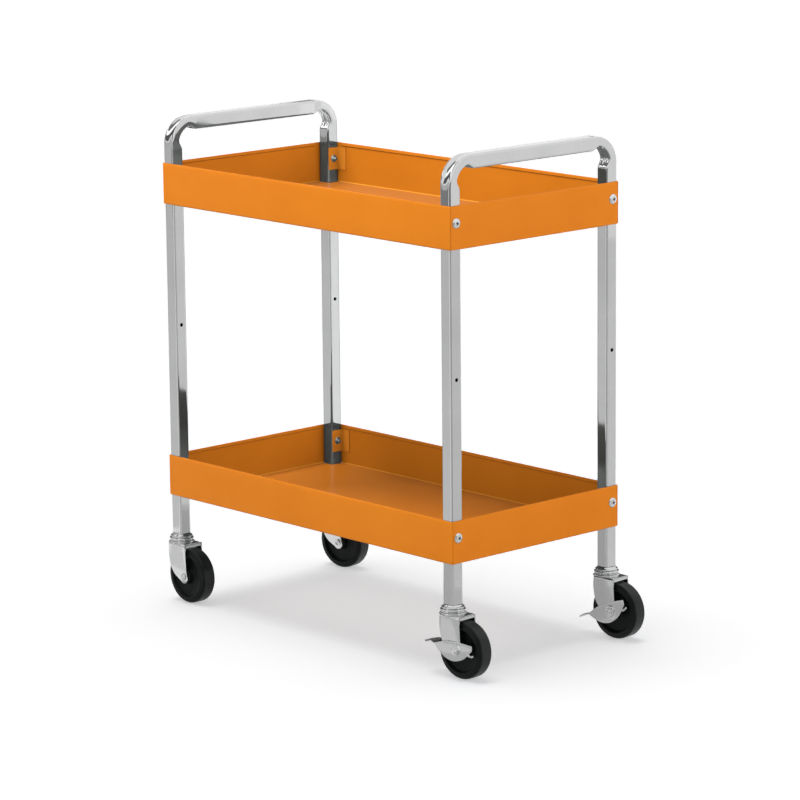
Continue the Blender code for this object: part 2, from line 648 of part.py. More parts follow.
def lever_mesh():
    """A foot brake lever: a lens-shaped plate, a pedal across the wheel's front and a small tab.

    The origin is on the axle, on the plate's inner side. The pedal points to -X and outwards is -Y.
    """
    span = LEVER_FRONT + LEVER_BACK
    low = [(share * span - LEVER_FRONT, -down * LEVER_DROP) for share, down in LEVER_LOWER_SHAPE]
    high = [(share * span - LEVER_FRONT, up * LEVER_RISE) for share, up in LEVER_UPPER_SHAPE]
    front = (-LEVER_FRONT, LEVER_FRONT_HEIGHT)
    plate = prism([front] + low + [(LEVER_BACK, LEVER_FRONT_HEIGHT), (LEVER_BACK, LEVER_BACK_HEIGHT)] + high,
                  LEVER_SHEET)
    plate.transform(Matrix.Translation((0.0, -LEVER_SHEET / 2, 0.0)))
    pedal = box((-LEVER_FRONT - PEDAL_LENGTH, -LEVER_SHEET, LEVER_FRONT_HEIGHT - LEVER_SHEET / 2),
                (PEDAL_LAP - LEVER_FRONT, PEDAL_WIDTH - LEVER_SHEET, LEVER_FRONT_HEIGHT + LEVER_SHEET / 2))
    tab = box((RELEASE_TAB_ROOT, -RELEASE_TAB_WIDTH, -LEVER_SHEET / 2),
              (RELEASE_TAB_REACH, -LEVER_SHEET / 2, LEVER_SHEET / 2))
    mesh = join(plate, [pedal, tab])
    hole = cylinder(AXLE_RADIUS + SEAT_GAP, 8 * LEVER_SHEET, PIN_SIDES, "Y")
    return shade(cut(mesh, [hole]))


def build_frame(root):
    """Trays, end frames and the corner brackets, screws and nuts that hold them."""
    tray = tray_mesh()
    frame = end_frame_mesh()
    bracket = bracket_mesh()
    screw = screw_mesh()
    nut = hex_nut_mesh(NUT_WIDTH, NUT_HEIGHT, SCREW_RADIUS + SEAT_GAP, NUT_FLANGE_RADIUS, NUT_FLANGE_HEIGHT)
    add_piece("end_frame_left", frame, CHROME, root, (-LEG_X, 0.0, 0.0))
    add_piece("end_frame_right", frame, CHROME, root, (LEG_X, 0.0, 0.0))
    for level, rim in (("lower", LOWER_RIM), ("upper", UPPER_RIM)):
        add_piece(level + "_tray", tray, ORANGE, root, (0.0, 0.0, rim - TRAY_DEPTH))
        for corner, side_x, side_y in CORNERS:
            place = Vector((side_x * LEG_X, side_y * LEG_Y, rim - SCREW_BELOW_RIM))
            over = math.pi if side_x != side_y else 0.0
            turn = math.pi if side_x < 0 else 0.0
            inward = Vector((-side_x, 0.0, 0.0))
            head = place - inward * (TUBE_SIZE / 2 + SEAT_GAP + TRAY_SHEET + SEAT_GAP)
            add_piece(level + "_bracket_" + corner, bracket, ORANGE, root, place, (over, 0.0, turn))
            add_piece(level + "_screw_" + corner, screw, CHROME, root, head,
                      (0.0, side_x * math.pi / 2, 0.0))
            add_piece(level + "_nut_" + corner, nut, STEEL, root, place + inward * NUT_SEAT,
                      (0.0, -side_x * math.pi / 2, 0.0))


def build_casters(root):
    """Four swivel casters, each with its socket in the leg's foot, and the two foot brakes."""
    socket, stem, cup, fork, wheel = socket_mesh(), stem_mesh(), cup_mesh(), fork_mesh(), wheel_mesh()
    grip = 2 * FORK_OUTER_HALF + 3 * SEAT_GAP + AXLE_NUT_HEIGHT
    plain_axle = axle_mesh(grip)
    brake_axle = axle_mesh(grip + LEVER_SHEET + SEAT_GAP)
    nut = hex_nut_mesh(AXLE_NUT_WIDTH, AXLE_NUT_HEIGHT, AXLE_RADIUS + SEAT_GAP)
    lever = lever_mesh()
    side = FORK_OUTER_HALF + SEAT_GAP
    nut_near = (math.pi / 2, 0.0, 0.0)
    nut_far = (-math.pi / 2, 0.0, 0.0)
    for corner, side_x, side_y, heading, brake in CASTERS:
        place = (side_x * LEG_X, side_y * LEG_Y, 0.0)
        add_piece("leg_socket_" + corner, socket, STEEL, root, place)
        add_piece("caster_stem_" + corner, stem, STEEL, root, place)
        add_piece("bearing_cup_" + corner, cup, CHROME, root, place)
        swivel = add_empty("swivel_axis_" + corner, root, place, math.radians(heading))
        axle_line = add_empty("axle_axis_" + corner, swivel, (CASTER_TRAIL, 0.0, AXLE_HEIGHT))
        add_piece("fork_" + corner, fork, CHROME, swivel)
        add_piece("wheel_" + corner, wheel, BLACK, axle_line,
                  rotation=(math.pi / 2, math.pi / WHEEL_SIDES, 0.0))
        if brake:
            outer = side + LEVER_SHEET + SEAT_GAP
            tilt = math.radians(-BRAKE_TRAVEL) if brake == "pressed" else 0.0
            add_piece("axle_bolt_" + corner, brake_axle, STEEL, axle_line, (0.0, side, 0.0), nut_near)
            add_piece("axle_nut_" + corner, nut, STEEL, axle_line, (0.0, -outer, 0.0), nut_near)
            add_piece("brake_lever_" + corner, lever, CHROME, axle_line, (0.0, -side, 0.0), (0.0, tilt, 0.0))
        else:
            add_piece("axle_bolt_" + corner, plain_axle, STEEL, axle_line, (0.0, -side, 0.0), nut_far)
            add_piece("axle_nut_" + corner, nut, STEEL, axle_line, (0.0, side, 0.0), nut_far)


def stand_on_origin(root):
    """Move the cart so that its footprint is centred on the origin, with its wheels on the floor."""
    bpy.context.view_layer.update()
    graph = bpy.context.evaluated_depsgraph_get()
    points = []
    for piece in CART.objects:
        if piece.type == "MESH":
            mesh = piece.evaluated_get(graph).to_mesh()
            points += [piece.matrix_world @ vert.co for vert in mesh.vertices]
    middle = [(min(p[i] for p in points) + max(p[i] for p in points)) / 2 for i in range(2)]
    root.location = (-middle[0], -middle[1], -min(p.z for p in points))


clear_scene()
CART = add_collection("utility_cart")
CUTTERS = add_collection("cutters")
ORANGE = add_material("orange_paint", (0.76, 0.23, 0.018), 0.32, 0.0)
CHROME = add_material("chrome", (0.78, 0.78, 0.77), 0.12, 1.0)
STEEL = add_material("zinc_plated_steel", (0.66, 0.66, 0.65), 0.3, 1.0)
BLACK = add_material("black_hard_rubber", (0.012, 0.013, 0.013), 0.42, 0.0)
CART_ROOT = add_empty("cart_root", None, (0.0, 0.0, 0.0))
build_frame(CART_ROOT)
build_casters(CART_ROOT)
stand_on_origin(CART_ROOT)
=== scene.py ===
"""The looks of the utility cart: enamelled trays, chromed end frames and casters, on a white floor.

Units are metres and +Z is up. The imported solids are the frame. Detailed pieces stand for them where
finer shapes show.
"""

import json
from math import atan2, copysign, cos, pi, radians, sin

import bmesh
import bpy
from mathutils import Matrix, Vector


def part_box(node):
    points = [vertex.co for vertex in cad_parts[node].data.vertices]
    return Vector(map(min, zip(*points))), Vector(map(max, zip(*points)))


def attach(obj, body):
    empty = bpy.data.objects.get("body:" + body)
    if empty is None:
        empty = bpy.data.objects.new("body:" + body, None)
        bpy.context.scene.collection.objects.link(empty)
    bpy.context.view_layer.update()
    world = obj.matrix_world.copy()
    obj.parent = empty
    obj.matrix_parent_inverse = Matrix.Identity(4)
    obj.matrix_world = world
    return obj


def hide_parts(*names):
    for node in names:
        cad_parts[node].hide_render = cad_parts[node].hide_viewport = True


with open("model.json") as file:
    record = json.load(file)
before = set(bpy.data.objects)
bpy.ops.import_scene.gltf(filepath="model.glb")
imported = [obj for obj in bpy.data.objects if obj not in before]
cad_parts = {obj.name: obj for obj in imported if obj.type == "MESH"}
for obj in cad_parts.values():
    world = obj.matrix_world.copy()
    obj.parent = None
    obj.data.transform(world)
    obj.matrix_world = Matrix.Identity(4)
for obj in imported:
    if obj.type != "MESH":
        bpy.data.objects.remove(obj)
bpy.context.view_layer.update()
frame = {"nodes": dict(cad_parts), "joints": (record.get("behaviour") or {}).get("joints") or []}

MM = 0.001
ON_AXIS = 1e-7
NODES = frame["nodes"]
JOINTS = {joint["name"]: joint for joint in frame["joints"]}
CORNERS = ("near_left", "near_right", "far_right", "far_left")
BRAKED = ("near_right", "far_right")

# Camera
CAMERA_AZIMUTH = 47.41
CAMERA_ELEVATION = 11.654
CAMERA_ROLL = -0.572
CAMERA_DISTANCE = 6.916435
CAMERA_TARGET = (-0.014258, 0.014235, 0.403747)
LENS = 172.015
SENSOR = 36.0

# Trays
TRAY_SHEET = 1.2 * MM
FOLD_RADIUS = 3.4 * MM
CORNER_RADIUS = 1.0 * MM
HEM_HEIGHT = 5.4 * MM
HEM_THICKNESS = 1.8 * MM
HEM_CREASE = 1.5 * MM
HEM_END_FROM_CORNER = 38.0 * MM
NOTCH_WALL_GAP = 0.15 * MM
NOTCH_CLEARANCE = 1.0 * MM
SEAM_WIDTH = 0.9 * MM
SEAM_DEPTH = 0.9 * MM
SEAM_FROM_CORNER = 1.2 * MM
RELIEF_RADIUS = 1.3 * MM
RELIEF_HEIGHT = 3.0 * MM
RELIEF_DEPTH = 1.1 * MM

# End frames
TUBE = 25.4 * MM
TUBE_CORNER = 4.0 * MM
FACE_FROM = 0.6
BEND_RADIUS = 38.0 * MM
BEND_PINCH = 8.0 * MM
PINCH_RUN = 20.0 * MM
PINCH_LEAD = 9.0 * MM
CREASE = 2.6 * MM
OUTER_DIP = 2.3 * MM
FOLD_DEPTH = 0.6 * MM
FOLDS = 3.5
SIDE_BULGE = 0.7 * MM
TUBE_WALL = 1.2 * MM
SHELF_HOLE_RADIUS = 3.5 * MM
SHELF_HOLE_HEIGHT = 521.3 * MM

# Screws and nuts
SCREW_BELOW_RIM = 30.0 * MM
SCREW_HOLE_RADIUS = 3.3 * MM
SCREW_HEAD_RADIUS = 8.8 * MM
SCREW_HEAD_HEIGHT = 3.6 * MM
SCREW_RADIUS = 3.0 * MM
THREAD_DEPTH = 0.45 * MM
THREAD_PITCH = 1.0 * MM
RECESS_LENGTH = 7.4 * MM
RECESS_WIDTH = 2.2 * MM
RECESS_DEPTH = 3.0 * MM
NUT_WIDTH = 10.0 * MM
NUT_HEIGHT = 5.0 * MM
NUT_FLANGE_RADIUS = 6.8 * MM
BRACKET_SHEET = 1.6 * MM
SCREW_END_PROUD = 2.0 * MM
SEAT_GAP = 0.3 * MM

# Casters
WHEEL_RADIUS = 50.8 * MM
TRAIL = 29.0 * MM
FORK_SHEET = 2.5 * MM
FORK_INNER = 18.7 * MM
FORK_OUTER = 21.2 * MM
FORK_FRONT = 12.5 * MM
FORK_BACK = 33.0 * MM
FORK_TOP = 111.5 * MM
FORK_UNDER = 109.0 * MM
LIP = 4.5 * MM
RACE_TOP = 113.9 * MM
CUP_BOTTOM = 114.3 * MM
AXLE_RADIUS = 4.0 * MM
AXLE_NUT_WIDTH = 13.0 * MM
AXLE_NUT_HEIGHT = 6.0 * MM
AXLE_HEAD_RADIUS = 6.5 * MM
AXLE_END_PROUD = 1.5 * MM
HUB_SIDE_PLAY = 0.6 * MM

# Brake levers
LEVER_SHEET = 2.0 * MM
LEVER_FRONT = 54.0 * MM
LEVER_BACK = 36.0 * MM
LEVER_FRONT_HEIGHT = 7.0 * MM
LEVER_BACK_HEIGHT = 16.0 * MM
LEVER_DROP = 17.5 * MM
LEVER_RISE = 17.0 * MM
PEDAL_LENGTH = 26.0 * MM
PEDAL_WIDTH = 30.0 * MM
BRAKE_TRAVEL = 20.0

# Sides and steps of round forms
TUBE_CORNER_STEPS = 6
TUBE_FACE_STEPS = 18
BEND_STEPS = 46
HOLE_SIDES = 28
BORE_SIDES = 36
SHANK_SIDES = 40
NUT_SIDES = 48
BOSS_SIDES = 64
RING_SIDES = 96
WHEEL_SIDES = 120

# Colours, linear
ORANGE = (0.748, 0.222, 0.0145)
# The brackets' enamel is a lighter copy of the orange: painted light on the brackets.
BRACKET_PAINTED_LIGHT_ORANGE = (0.87, 0.285, 0.026)
# Darker enamel under the hems: painted shade in the creases.
HEM_PAINTED_SHADE_ORANGE = (0.34, 0.088, 0.008)
# Lighter enamel on the floor folds: a painted highlight along them.
FOLD_PAINTED_HIGHLIGHT_ORANGE = (0.93, 0.36, 0.035)
CHROME = (0.66, 0.666, 0.662)
ZINC = (0.78, 0.785, 0.78)
BLACK = (0.0034, 0.0044, 0.0041)
# The tread is painted lighter than the sides: painted light on the tread.
TREAD_PAINTED_LIGHT_BLACK = (0.009, 0.0108, 0.0103)
# Dark grey in the screws' cross recesses: grime and painted shade.
RECESS_GRIME_AND_SHADE_GREY = (0.03, 0.032, 0.03)
# The enamel's colour in reflections: dark grey, a painted reflection.
PAINTED_REFLECTION_GREY = (0.155, 0.168, 0.165)
# The enamel's colour for bounced light: paler and greyer, painted bounce light.
PAINTED_BOUNCE_COLOUR = (0.44, 0.36, 0.3)

# Studio light, levels as shares of white
FLOOR_HALF = 30.0
FLOOR_COLOUR = (0.9, 0.9, 0.9, 1.0)
FLOOR_GLOW = 0.425
GLOW_TINT = (0.99, 1.0, 1.025, 1.0)
TOP_LIGHT = 0.25
TOP_TILT = (5.0, -9.0)
SHADOW_LIGHT = 0.16
SHADOW_TILT = (-7.0, -1.0)
TOP_ANGLE = 0.5
WARM = (1.0, 0.92, 0.9)
BOX_AIM = (0.0, 0.0, 0.55)
BOX_SIZE = (2.2, 1.8)
WALL_LIGHT = 0.85
CEILING_LIGHT = 0.0
WALL_SINE = 0.45
CEILING_SINE = 0.65

# Directions from the cart, in degrees from +X
LEFT = 222.6
FRONT = 317.4
RIGHT = 42.6
BACK = 137.4

SEEN_BY = ("Is Camera Ray", "Is Glossy Ray", "Is Transmission Ray")


def new_material(name, colour, metallic, roughness):
    """A Principled material with its fixed values set on the shader."""
    material = bpy.data.materials.new(name)
    material.use_nodes = True
    shader = material.node_tree.nodes["Principled BSDF"]
    shader.inputs["Base Color"].default_value = (*colour, 1.0)
    shader.inputs["Metallic"].default_value = metallic
    shader.inputs["Roughness"].default_value = roughness
    return material, material.node_tree, shader


def add_node(tree, kind, **values):
    """A shader node with its inputs set by name."""
    node = tree.nodes.new(kind)
    for key, value in values.items():
        node.inputs[key.replace("_", " ")].default_value = value
    return node


def noise(tree, scale, detail, rough, stretch=(1.0, 1.0, 1.0)):
    """A noise texture in the piece's own coordinates, in cycles per metre; returns its factor."""
    coords = tree.nodes.new("ShaderNodeTexCoord")
    mapping = add_node(tree, "ShaderNodeMapping", Scale=stretch)
    texture = add_node(tree, "ShaderNodeTexNoise", Scale=scale, Detail=detail, Roughness=rough)
    tree.links.new(coords.outputs["Object"], mapping.inputs["Vector"])
    tree.links.new(mapping.outputs["Vector"], texture.inputs["Vector"])
    return texture.outputs["Fac"]


def remap(tree, source, low, high, to_low, to_high):
    """Map a value range onto another one."""
    node = add_node(tree, "ShaderNodeMapRange", From_Min=low, From_Max=high, To_Min=to_low, To_Max=to_high)
    tree.links.new(source, node.inputs["Value"])
    return node.outputs["Result"]


def mix_colours(tree, factor, first, second):
    """A colour between two, by a factor."""
    node = tree.nodes.new("ShaderNodeMix")
    node.data_type = "RGBA"
    node.inputs["A"].default_value = (*first, 1.0)
    node.inputs["B"].default_value = (*second, 1.0)
    tree.links.new(factor, node.inputs["Factor"])
    return node.outputs["Result"]


def bump(tree, shader, layers):
    """Stack bumps of (height source, distance, strength) on the shader's normal."""
    normal = None
    for source, distance, strength in layers:
        node = add_node(tree, "ShaderNodeBump", Strength=strength, Distance=distance)
        tree.links.new(source, node.inputs["Height"])
        if normal is not None:
            tree.links.new(normal, node.inputs["Normal"])
        normal = node.outputs["Normal"]
    tree.links.new(normal, shader.inputs["Normal"])


def maths(tree, operation, first, second):
    """Two values put together by a Math node."""
    node = tree.nodes.new("ShaderNodeMath")
    node.operation = operation
    tree.links.new(first, node.inputs[0])
    tree.links.new(second, node.inputs[1])
    return node.outputs[0]


def coordinates(tree, kind):
    """The X, Y and Z of a kind of texture coordinates."""
    coords = tree.nodes.new("ShaderNodeTexCoord")
    parts = tree.nodes.new("ShaderNodeSeparateXYZ")
    tree.links.new(coords.outputs[kind], parts.inputs["Vector"])
    return parts.outputs


def path_shares(tree, names):
    """The largest of some Light Path outputs."""
    path = tree.nodes.new("ShaderNodeLightPath")
    value = path.outputs[names[0]]
    for name in names[1:]:
        value = maths(tree, "MAXIMUM", value, path.outputs[name])
    return value


def scaled(colour, shares):
    """A colour with each of its values multiplied."""
    return tuple(value * share for value, share in zip(colour, shares))


def mottled(tree, source, low, high, first, second):
    """A colour that goes from one to another as a texture's value rises from low to high."""
    return mix_colours(tree, remap(tree, source, low, high, 0.0, 1.0), first, second)


def finish_surface(tree, shader, colour, patches, gloss, layers):
    """Wire a surface's colour, roughness and bumps. Gloss is how the patches map to roughness."""
    tree.links.new(colour, shader.inputs["Base Color"])
    tree.links.new(remap(tree, patches, *gloss), shader.inputs["Roughness"])
    bump(tree, shader, layers)


def enamel_material(name="orange_enamel", colour=ORANGE):
    """Orange baked enamel over sheet steel: faint orange peel, small shade changes and a clear gloss."""
    material, tree, shader = new_material(name, colour, 0.0, 0.2)
    darker, lighter = scaled(colour, (0.955, 0.93, 0.9)), scaled(colour, (1.03, 1.05, 1.12))
    paint = mottled(tree, noise(tree, 6.0, 4.0, 0.55), 0.3, 0.7, darker, lighter)
    # Light bounced off the paint takes a paler, greyer colour: painted bounce light.
    painted_bounce = mix_colours(tree, path_shares(tree, ("Is Diffuse Ray",)), colour, PAINTED_BOUNCE_COLOUR)
    tree.links.new(paint, painted_bounce.node.inputs["A"])
    # Seen in reflections, the paint turns dark grey: a painted reflection.
    mirrored = mix_colours(tree, path_shares(tree, ("Is Glossy Ray",)), colour, PAINTED_REFLECTION_GREY)
    tree.links.new(painted_bounce, mirrored.node.inputs["A"])
    shader.inputs["Specular IOR Level"].default_value = 0.055
    wave, peel = noise(tree, 14.0, 2.0, 0.5), noise(tree, 420.0, 2.0, 0.5)
    finish_surface(tree, shader, mirrored, noise(tree, 90.0, 3.0, 0.6), (0.3, 0.7, 0.14, 0.24),
                   [(wave, 0.6 * MM, 0.12), (peel, 0.06 * MM, 0.25)])
    return material


def chrome_material(name="bright_chrome", haze=0.0):
    """Chrome plating on drawn tube: nearly a mirror, with faint waves, polishing marks and haze."""
    material, tree, shader = new_material(name, CHROME, 1.0, 0.06 + haze)
    duller, brighter = scaled(CHROME, (0.94, 0.94, 0.94)), scaled(CHROME, (1.03, 1.03, 1.03))
    colour = mottled(tree, noise(tree, 9.0, 4.0, 0.6), 0.3, 0.7, duller, brighter)
    smear = noise(tree, 40.0, 3.0, 0.6, (1.0, 1.0, 0.25))
    wave, grain = noise(tree, 16.0, 2.0, 0.45), noise(tree, 700.0, 2.0, 0.5, (1.0, 1.0, 0.12))
    finish_surface(tree, shader, colour, smear, (0.3, 0.75, 0.04 + haze, 0.09 + haze),
                   [(wave, 0.5 * MM, 0.2), (grain, 0.02 * MM, 0.15)])
    return material


def zinc_material():
    """Bright zinc plating: satin metal with a fine crystalline mottle."""
    material, tree, shader = new_material("bright_zinc", ZINC, 1.0, 0.28)
    duller = scaled(ZINC, (0.86, 0.87, 0.86))
    colour = mottled(tree, noise(tree, 120.0, 4.0, 0.6), 0.3, 0.7, duller, ZINC)
    finish_surface(tree, shader, colour, noise(tree, 260.0, 3.0, 0.6), (0.3, 0.7, 0.14, 0.26),
                   [(noise(tree, 900.0, 2.0, 0.5), 0.03 * MM, 0.3)])
    return material


def dark_material(name="black_hard_rubber", colour=BLACK, shine=0.13):
    """Moulded hard rubber, its tread copy painted lighter as painted light, and grime with painted shade:
    near black, satin, with a little dust and fine pitting.
    """
    material, tree, shader = new_material(name, colour, 0.0, 0.4)
    dusty = scaled(colour, (2.1, 2.1, 2.1))
    dust = mottled(tree, noise(tree, 34.0, 5.0, 0.65), 0.45, 0.75, colour, dusty)
    shader.inputs["Specular IOR Level"].default_value = shine
    finish_surface(tree, shader, dust, noise(tree, 70.0, 3.0, 0.6), (0.3, 0.7, 0.3, 0.46),
                   [(noise(tree, 1100.0, 2.0, 0.5), 0.05 * MM, 0.3)])
    return material


ENAMEL = enamel_material()
# A lighter copy of the enamel for the brackets: painted light.
BRACKET_PAINTED_LIGHT_ENAMEL = enamel_material("orange_enamel_brackets_painted_light", BRACKET_PAINTED_LIGHT_ORANGE)
# The darker enamel for the hems' under-faces: painted shade.
HEM_PAINTED_SHADE_ENAMEL = enamel_material("orange_enamel_hem_painted_shade", HEM_PAINTED_SHADE_ORANGE)
# The lighter enamel for the floor folds: a painted highlight.
FOLD_PAINTED_HIGHLIGHT_ENAMEL = enamel_material("orange_enamel_folds_painted_highlight", FOLD_PAINTED_HIGHLIGHT_ORANGE)
BRIGHT = chrome_material()
STAMPED = chrome_material("stamped_chrome", 0.07)
PLATED = zinc_material()
RUBBER = dark_material()
# The tread's rubber, painted lighter and a little glossier: painted light.
TREAD = dark_material("hard_rubber_tread_painted_light", TREAD_PAINTED_LIGHT_BLACK, 0.25)
# Grime with painted shade, for the screws' recesses.
RECESS_GRIME_AND_SHADE = dark_material("recess_grime_and_painted_shade", RECESS_GRIME_AND_SHADE_GREY, 0.3)


def new_object(name, data):
    """An object in the scene."""
    made = bpy.data.objects.new(name, data)
    bpy.context.scene.collection.objects.link(made)
    return made


def bmesh_of(mesh):
    """A mesh as a bmesh, for more work on it."""
    bm = bmesh.new()
    bm.from_mesh(mesh)
    return bm


def mesh_of(bm, name):
    """A bmesh as a mesh, as it is."""
    mesh = bpy.data.meshes.new(name)
    bm.to_mesh(mesh)
    bm.free()
    return mesh


def outward_mesh(bm, name):
    """A bmesh as a mesh with its faces turned outwards."""
    bmesh.ops.recalc_face_normals(bm, faces=bm.faces)
    return mesh_of(bm, name)


def skin(bm, rings):
    """Bands of faces between rings of as many points, and both ends closed. Returns the last band."""
    for ring, following in zip(rings, rings[1:]):
        band = []
        for i in range(len(ring)):
            j = (i + 1) % len(ring)
            band.append(bm.faces.new((ring[i], ring[j], following[j], following[i])))
    bm.faces.new(rings[0])
    bm.faces.new(rings[-1])
    return band


def finish_mesh(bm, name, material, angle=35.0):
    """Turn a bmesh into a mesh with its material, smooth except where faces meet sharply."""
    mesh = outward_mesh(bm, name)
    mesh.materials.append(material)
    mesh.shade_smooth()
    mesh.set_sharp_from_angle(angle=radians(angle))
    return mesh


def apply_modifier(mesh, name, kind, values, angle=35.0):
    """The mesh after a modifier with some values, with its shading set again."""
    guide = new_object(name, mesh)
    modifier = guide.modifiers.new(kind.lower(), kind)
    for key, value in values.items():
        setattr(modifier, key, value)
    bpy.context.view_layer.update()
    graph = bpy.context.evaluated_depsgraph_get()
    result = bpy.data.meshes.new_from_object(guide.evaluated_get(graph), depsgraph=graph)
    bpy.data.objects.remove(guide, do_unlink=True)
    result.name = name
    result.shade_smooth()
    result.set_sharp_from_angle(angle=radians(angle))
    return result


def rounded(mesh, name, width, segments, limit):
    """The mesh with the edges rounded that are sharper than the limit in degrees."""
    values = {"width": width, "segments": segments, "limit_method": "ANGLE",
              "angle_limit": radians(limit)}
    return apply_modifier(mesh, name, "BEVEL", values, 40.0)


def boolean(mesh, tool, name, operation="DIFFERENCE"):
    """One exact boolean of two meshes."""
    cutter = new_object("cutter", tool)
    values = {"operation": operation, "solver": "EXACT", "object": cutter}
    result = apply_modifier(mesh, name, "BOOLEAN", values)
    bpy.data.objects.remove(cutter, do_unlink=True)
    return result


def many_boxes(boxes, rods=()):
    """One mesh of several separate boxes (low, high) and rods along X (centre, radius, length)."""
    bm = bmesh.new()
    for low, high in boxes:
        low, high = Vector(low), Vector(high)
        made = bmesh.ops.create_cube(bm, size=1.0)["verts"]
        for vert in made:
            vert.co = Vector((vert.co[i] * (high - low)[i] + (high + low)[i] / 2) for i in range(3))
    along_x = Matrix.Rotation(pi / 2, 4, "Y")
    for centre, radius, length in rods:
        made = bmesh.ops.create_cone(bm, cap_ends=True, segments=HOLE_SIDES, radius1=radius,
                                     radius2=radius, depth=length)["verts"]
        bmesh.ops.transform(bm, matrix=Matrix.Translation(centre) @ along_x, verts=made)
    return outward_mesh(bm, "tools")


def lathe(bm, profile, sides):
    """Turn a closed profile of (radius, height) about Z into the bmesh."""
    rings = []
    for radius, height in profile:
        if radius < ON_AXIS:
            rings.append([bm.verts.new((0.0, 0.0, height))])
            continue
        ring = []
        for step in range(sides):
            angle = 2 * pi * step / sides
            ring.append(bm.verts.new((radius * cos(angle), radius * sin(angle), height)))
        rings.append(ring)
    pairs = list(zip(rings, rings[1:]))
    if profile[0][0] >= ON_AXIS:
        pairs.append((rings[-1], rings[0]))
    for ring, following in pairs:
        for i in range(sides):
            j = (i + 1) % sides
            corners = [ring[i % len(ring)], ring[j % len(ring)],
                       following[j % len(following)], following[i % len(following)]]
            unique = list(dict.fromkeys(corners))
            if len(unique) > 2:
                bm.faces.new(unique)


def turned(name, profile, sides, material, angle=35.0):
    """A turned piece about Z."""
    bm = bmesh.new()
    lathe(bm, profile, sides)
    return finish_mesh(bm, name, material, angle)


def arc(centre, radius, start, end, steps):
    """Points on an arc, angles in degrees."""
    points = []
    for step in range(steps + 1):
        angle = radians(start + (end - start) * step / steps)
        points.append((centre[0] + radius * cos(angle), centre[1] + radius * sin(angle)))
    return points


def spline(points, steps):
    """A smooth open curve through points, with so many steps between each pair."""
    vectors = [Vector(point) for point in points]
    ends = [2 * vectors[0] - vectors[1]] + vectors + [2 * vectors[-1] - vectors[-2]]
    smooth = []
    for i in range(1, len(ends) - 2):
        p0, p1, p2, p3 = ends[i - 1:i + 3]
        for step in range(steps):
            t = step / steps
            smooth.append(0.5 * (2 * p1 + (p2 - p0) * t + (2 * p0 - 5 * p1 + 4 * p2 - p3) * t * t
                                 + (3 * p1 - p0 - 3 * p2 + p3) * t ** 3))
    smooth.append(vectors[-1])
    return smooth


def plate(bm, outline, low, high):
    """A flat plate in the XZ plane between two Y values, from an outline of (x, z)."""
    front = [bm.verts.new((x, low, z)) for x, z in outline]
    back = [bm.verts.new((x, high, z)) for x, z in outline]
    bm.faces.new(front)
    bm.faces.new(list(reversed(back)))
    for i in range(len(outline)):
        j = (i + 1) % len(outline)
        bm.faces.new((front[j], front[i], back[i], back[j]))


def put(name, mesh, body, matrix, replaces):
    """Place a detailed piece on its body, for the solids that it stands for."""
    piece = new_object(name, mesh)
    piece.matrix_world = matrix
    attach(piece, body)
    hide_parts(*replaces)


def pan_profile(depth):
    """The pan's sheet in section, as (distance in from the outside, height), from floor to floor."""
    rim = TRAY_SHEET / 2
    profile = [(FOLD_RADIUS - x, FOLD_RADIUS - z) for x, z in arc((0.0, 0.0), FOLD_RADIUS, 90, 0, 8)]
    profile += [(0.0, depth * share) for share in (0.3, 0.6, 0.9)]
    profile += arc((rim, depth - rim), rim, 180, 0, 4)
    profile += [(TRAY_SHEET, depth * share) for share in (0.9, 0.6, 0.3)]
    inner = FOLD_RADIUS - TRAY_SHEET
    return profile + [(FOLD_RADIUS - x, FOLD_RADIUS - z) for x, z in arc((0.0, 0.0), inner, 0, 90, 6)]


def pan_shell(half_x, half_y, depth):
    """A folded pan without openings."""
    bm = bmesh.new()
    rings = []
    for inset, height in pan_profile(depth):
        ring = []
        reach = max(inset, CORNER_RADIUS)
        for quadrant, (sx, sy) in enumerate(((1, 1), (-1, 1), (-1, -1), (1, -1))):
            for step in range(5):
                angle = radians(90 * quadrant + 90 * step / 4)
                radius = max(CORNER_RADIUS - inset, 0.0)
                ring.append(bm.verts.new((sx * (half_x - reach) + radius * cos(angle),
                                          sy * (half_y - reach) + radius * sin(angle), height)))
        rings.append(ring)
    skin(bm, rings)
    bmesh.ops.remove_doubles(bm, verts=bm.verts, dist=0.001 * MM)
    bmesh.ops.dissolve_degenerate(bm, edges=bm.edges, dist=0.001 * MM)
    return finish_mesh(bm, "pan", ENAMEL)


def pan_openings(half_x, half_y, depth, leg_x, leg_y):
    """What is cut from a pan: notches for the legs, corner seams with their relief holes, screw holes."""
    near = TUBE / 2 + NOTCH_CLEARANCE
    wall = TUBE / 2 + NOTCH_WALL_GAP
    boxes, rods = [], []
    for sx in (-1, 1):
        for sy in (-1, 1):
            xs = sorted((sx * (leg_x - near), sx * (leg_x + wall)))
            ys = sorted((sy * (leg_y - near), sy * (leg_y + wall)))
            boxes.append(((xs[0], ys[0], -5 * MM), (xs[1], ys[1], TRAY_SHEET + FOLD_RADIUS)))
            seam = half_y - SEAM_FROM_CORNER
            seam_x = sorted((sx * (half_x - SEAM_DEPTH), sx * (half_x + SEAM_DEPTH)))
            seam_y = sorted((sy * seam, sy * (seam - SEAM_WIDTH)))
            boxes.append(((seam_x[0], seam_y[0], RELIEF_HEIGHT + RELIEF_RADIUS + 0.02 * MM),
                          (seam_x[1], seam_y[1], 2 * depth)))
            screw = (sx * half_x, sy * leg_y, depth - SCREW_BELOW_RIM)
            rods.append((screw, SCREW_HOLE_RADIUS, 10 * MM))
            relief = (sx * half_x, sy * (seam - SEAM_WIDTH / 2), RELIEF_HEIGHT)
            rods.append((relief, RELIEF_RADIUS, 2 * RELIEF_DEPTH))
    return many_boxes(boxes, rods)


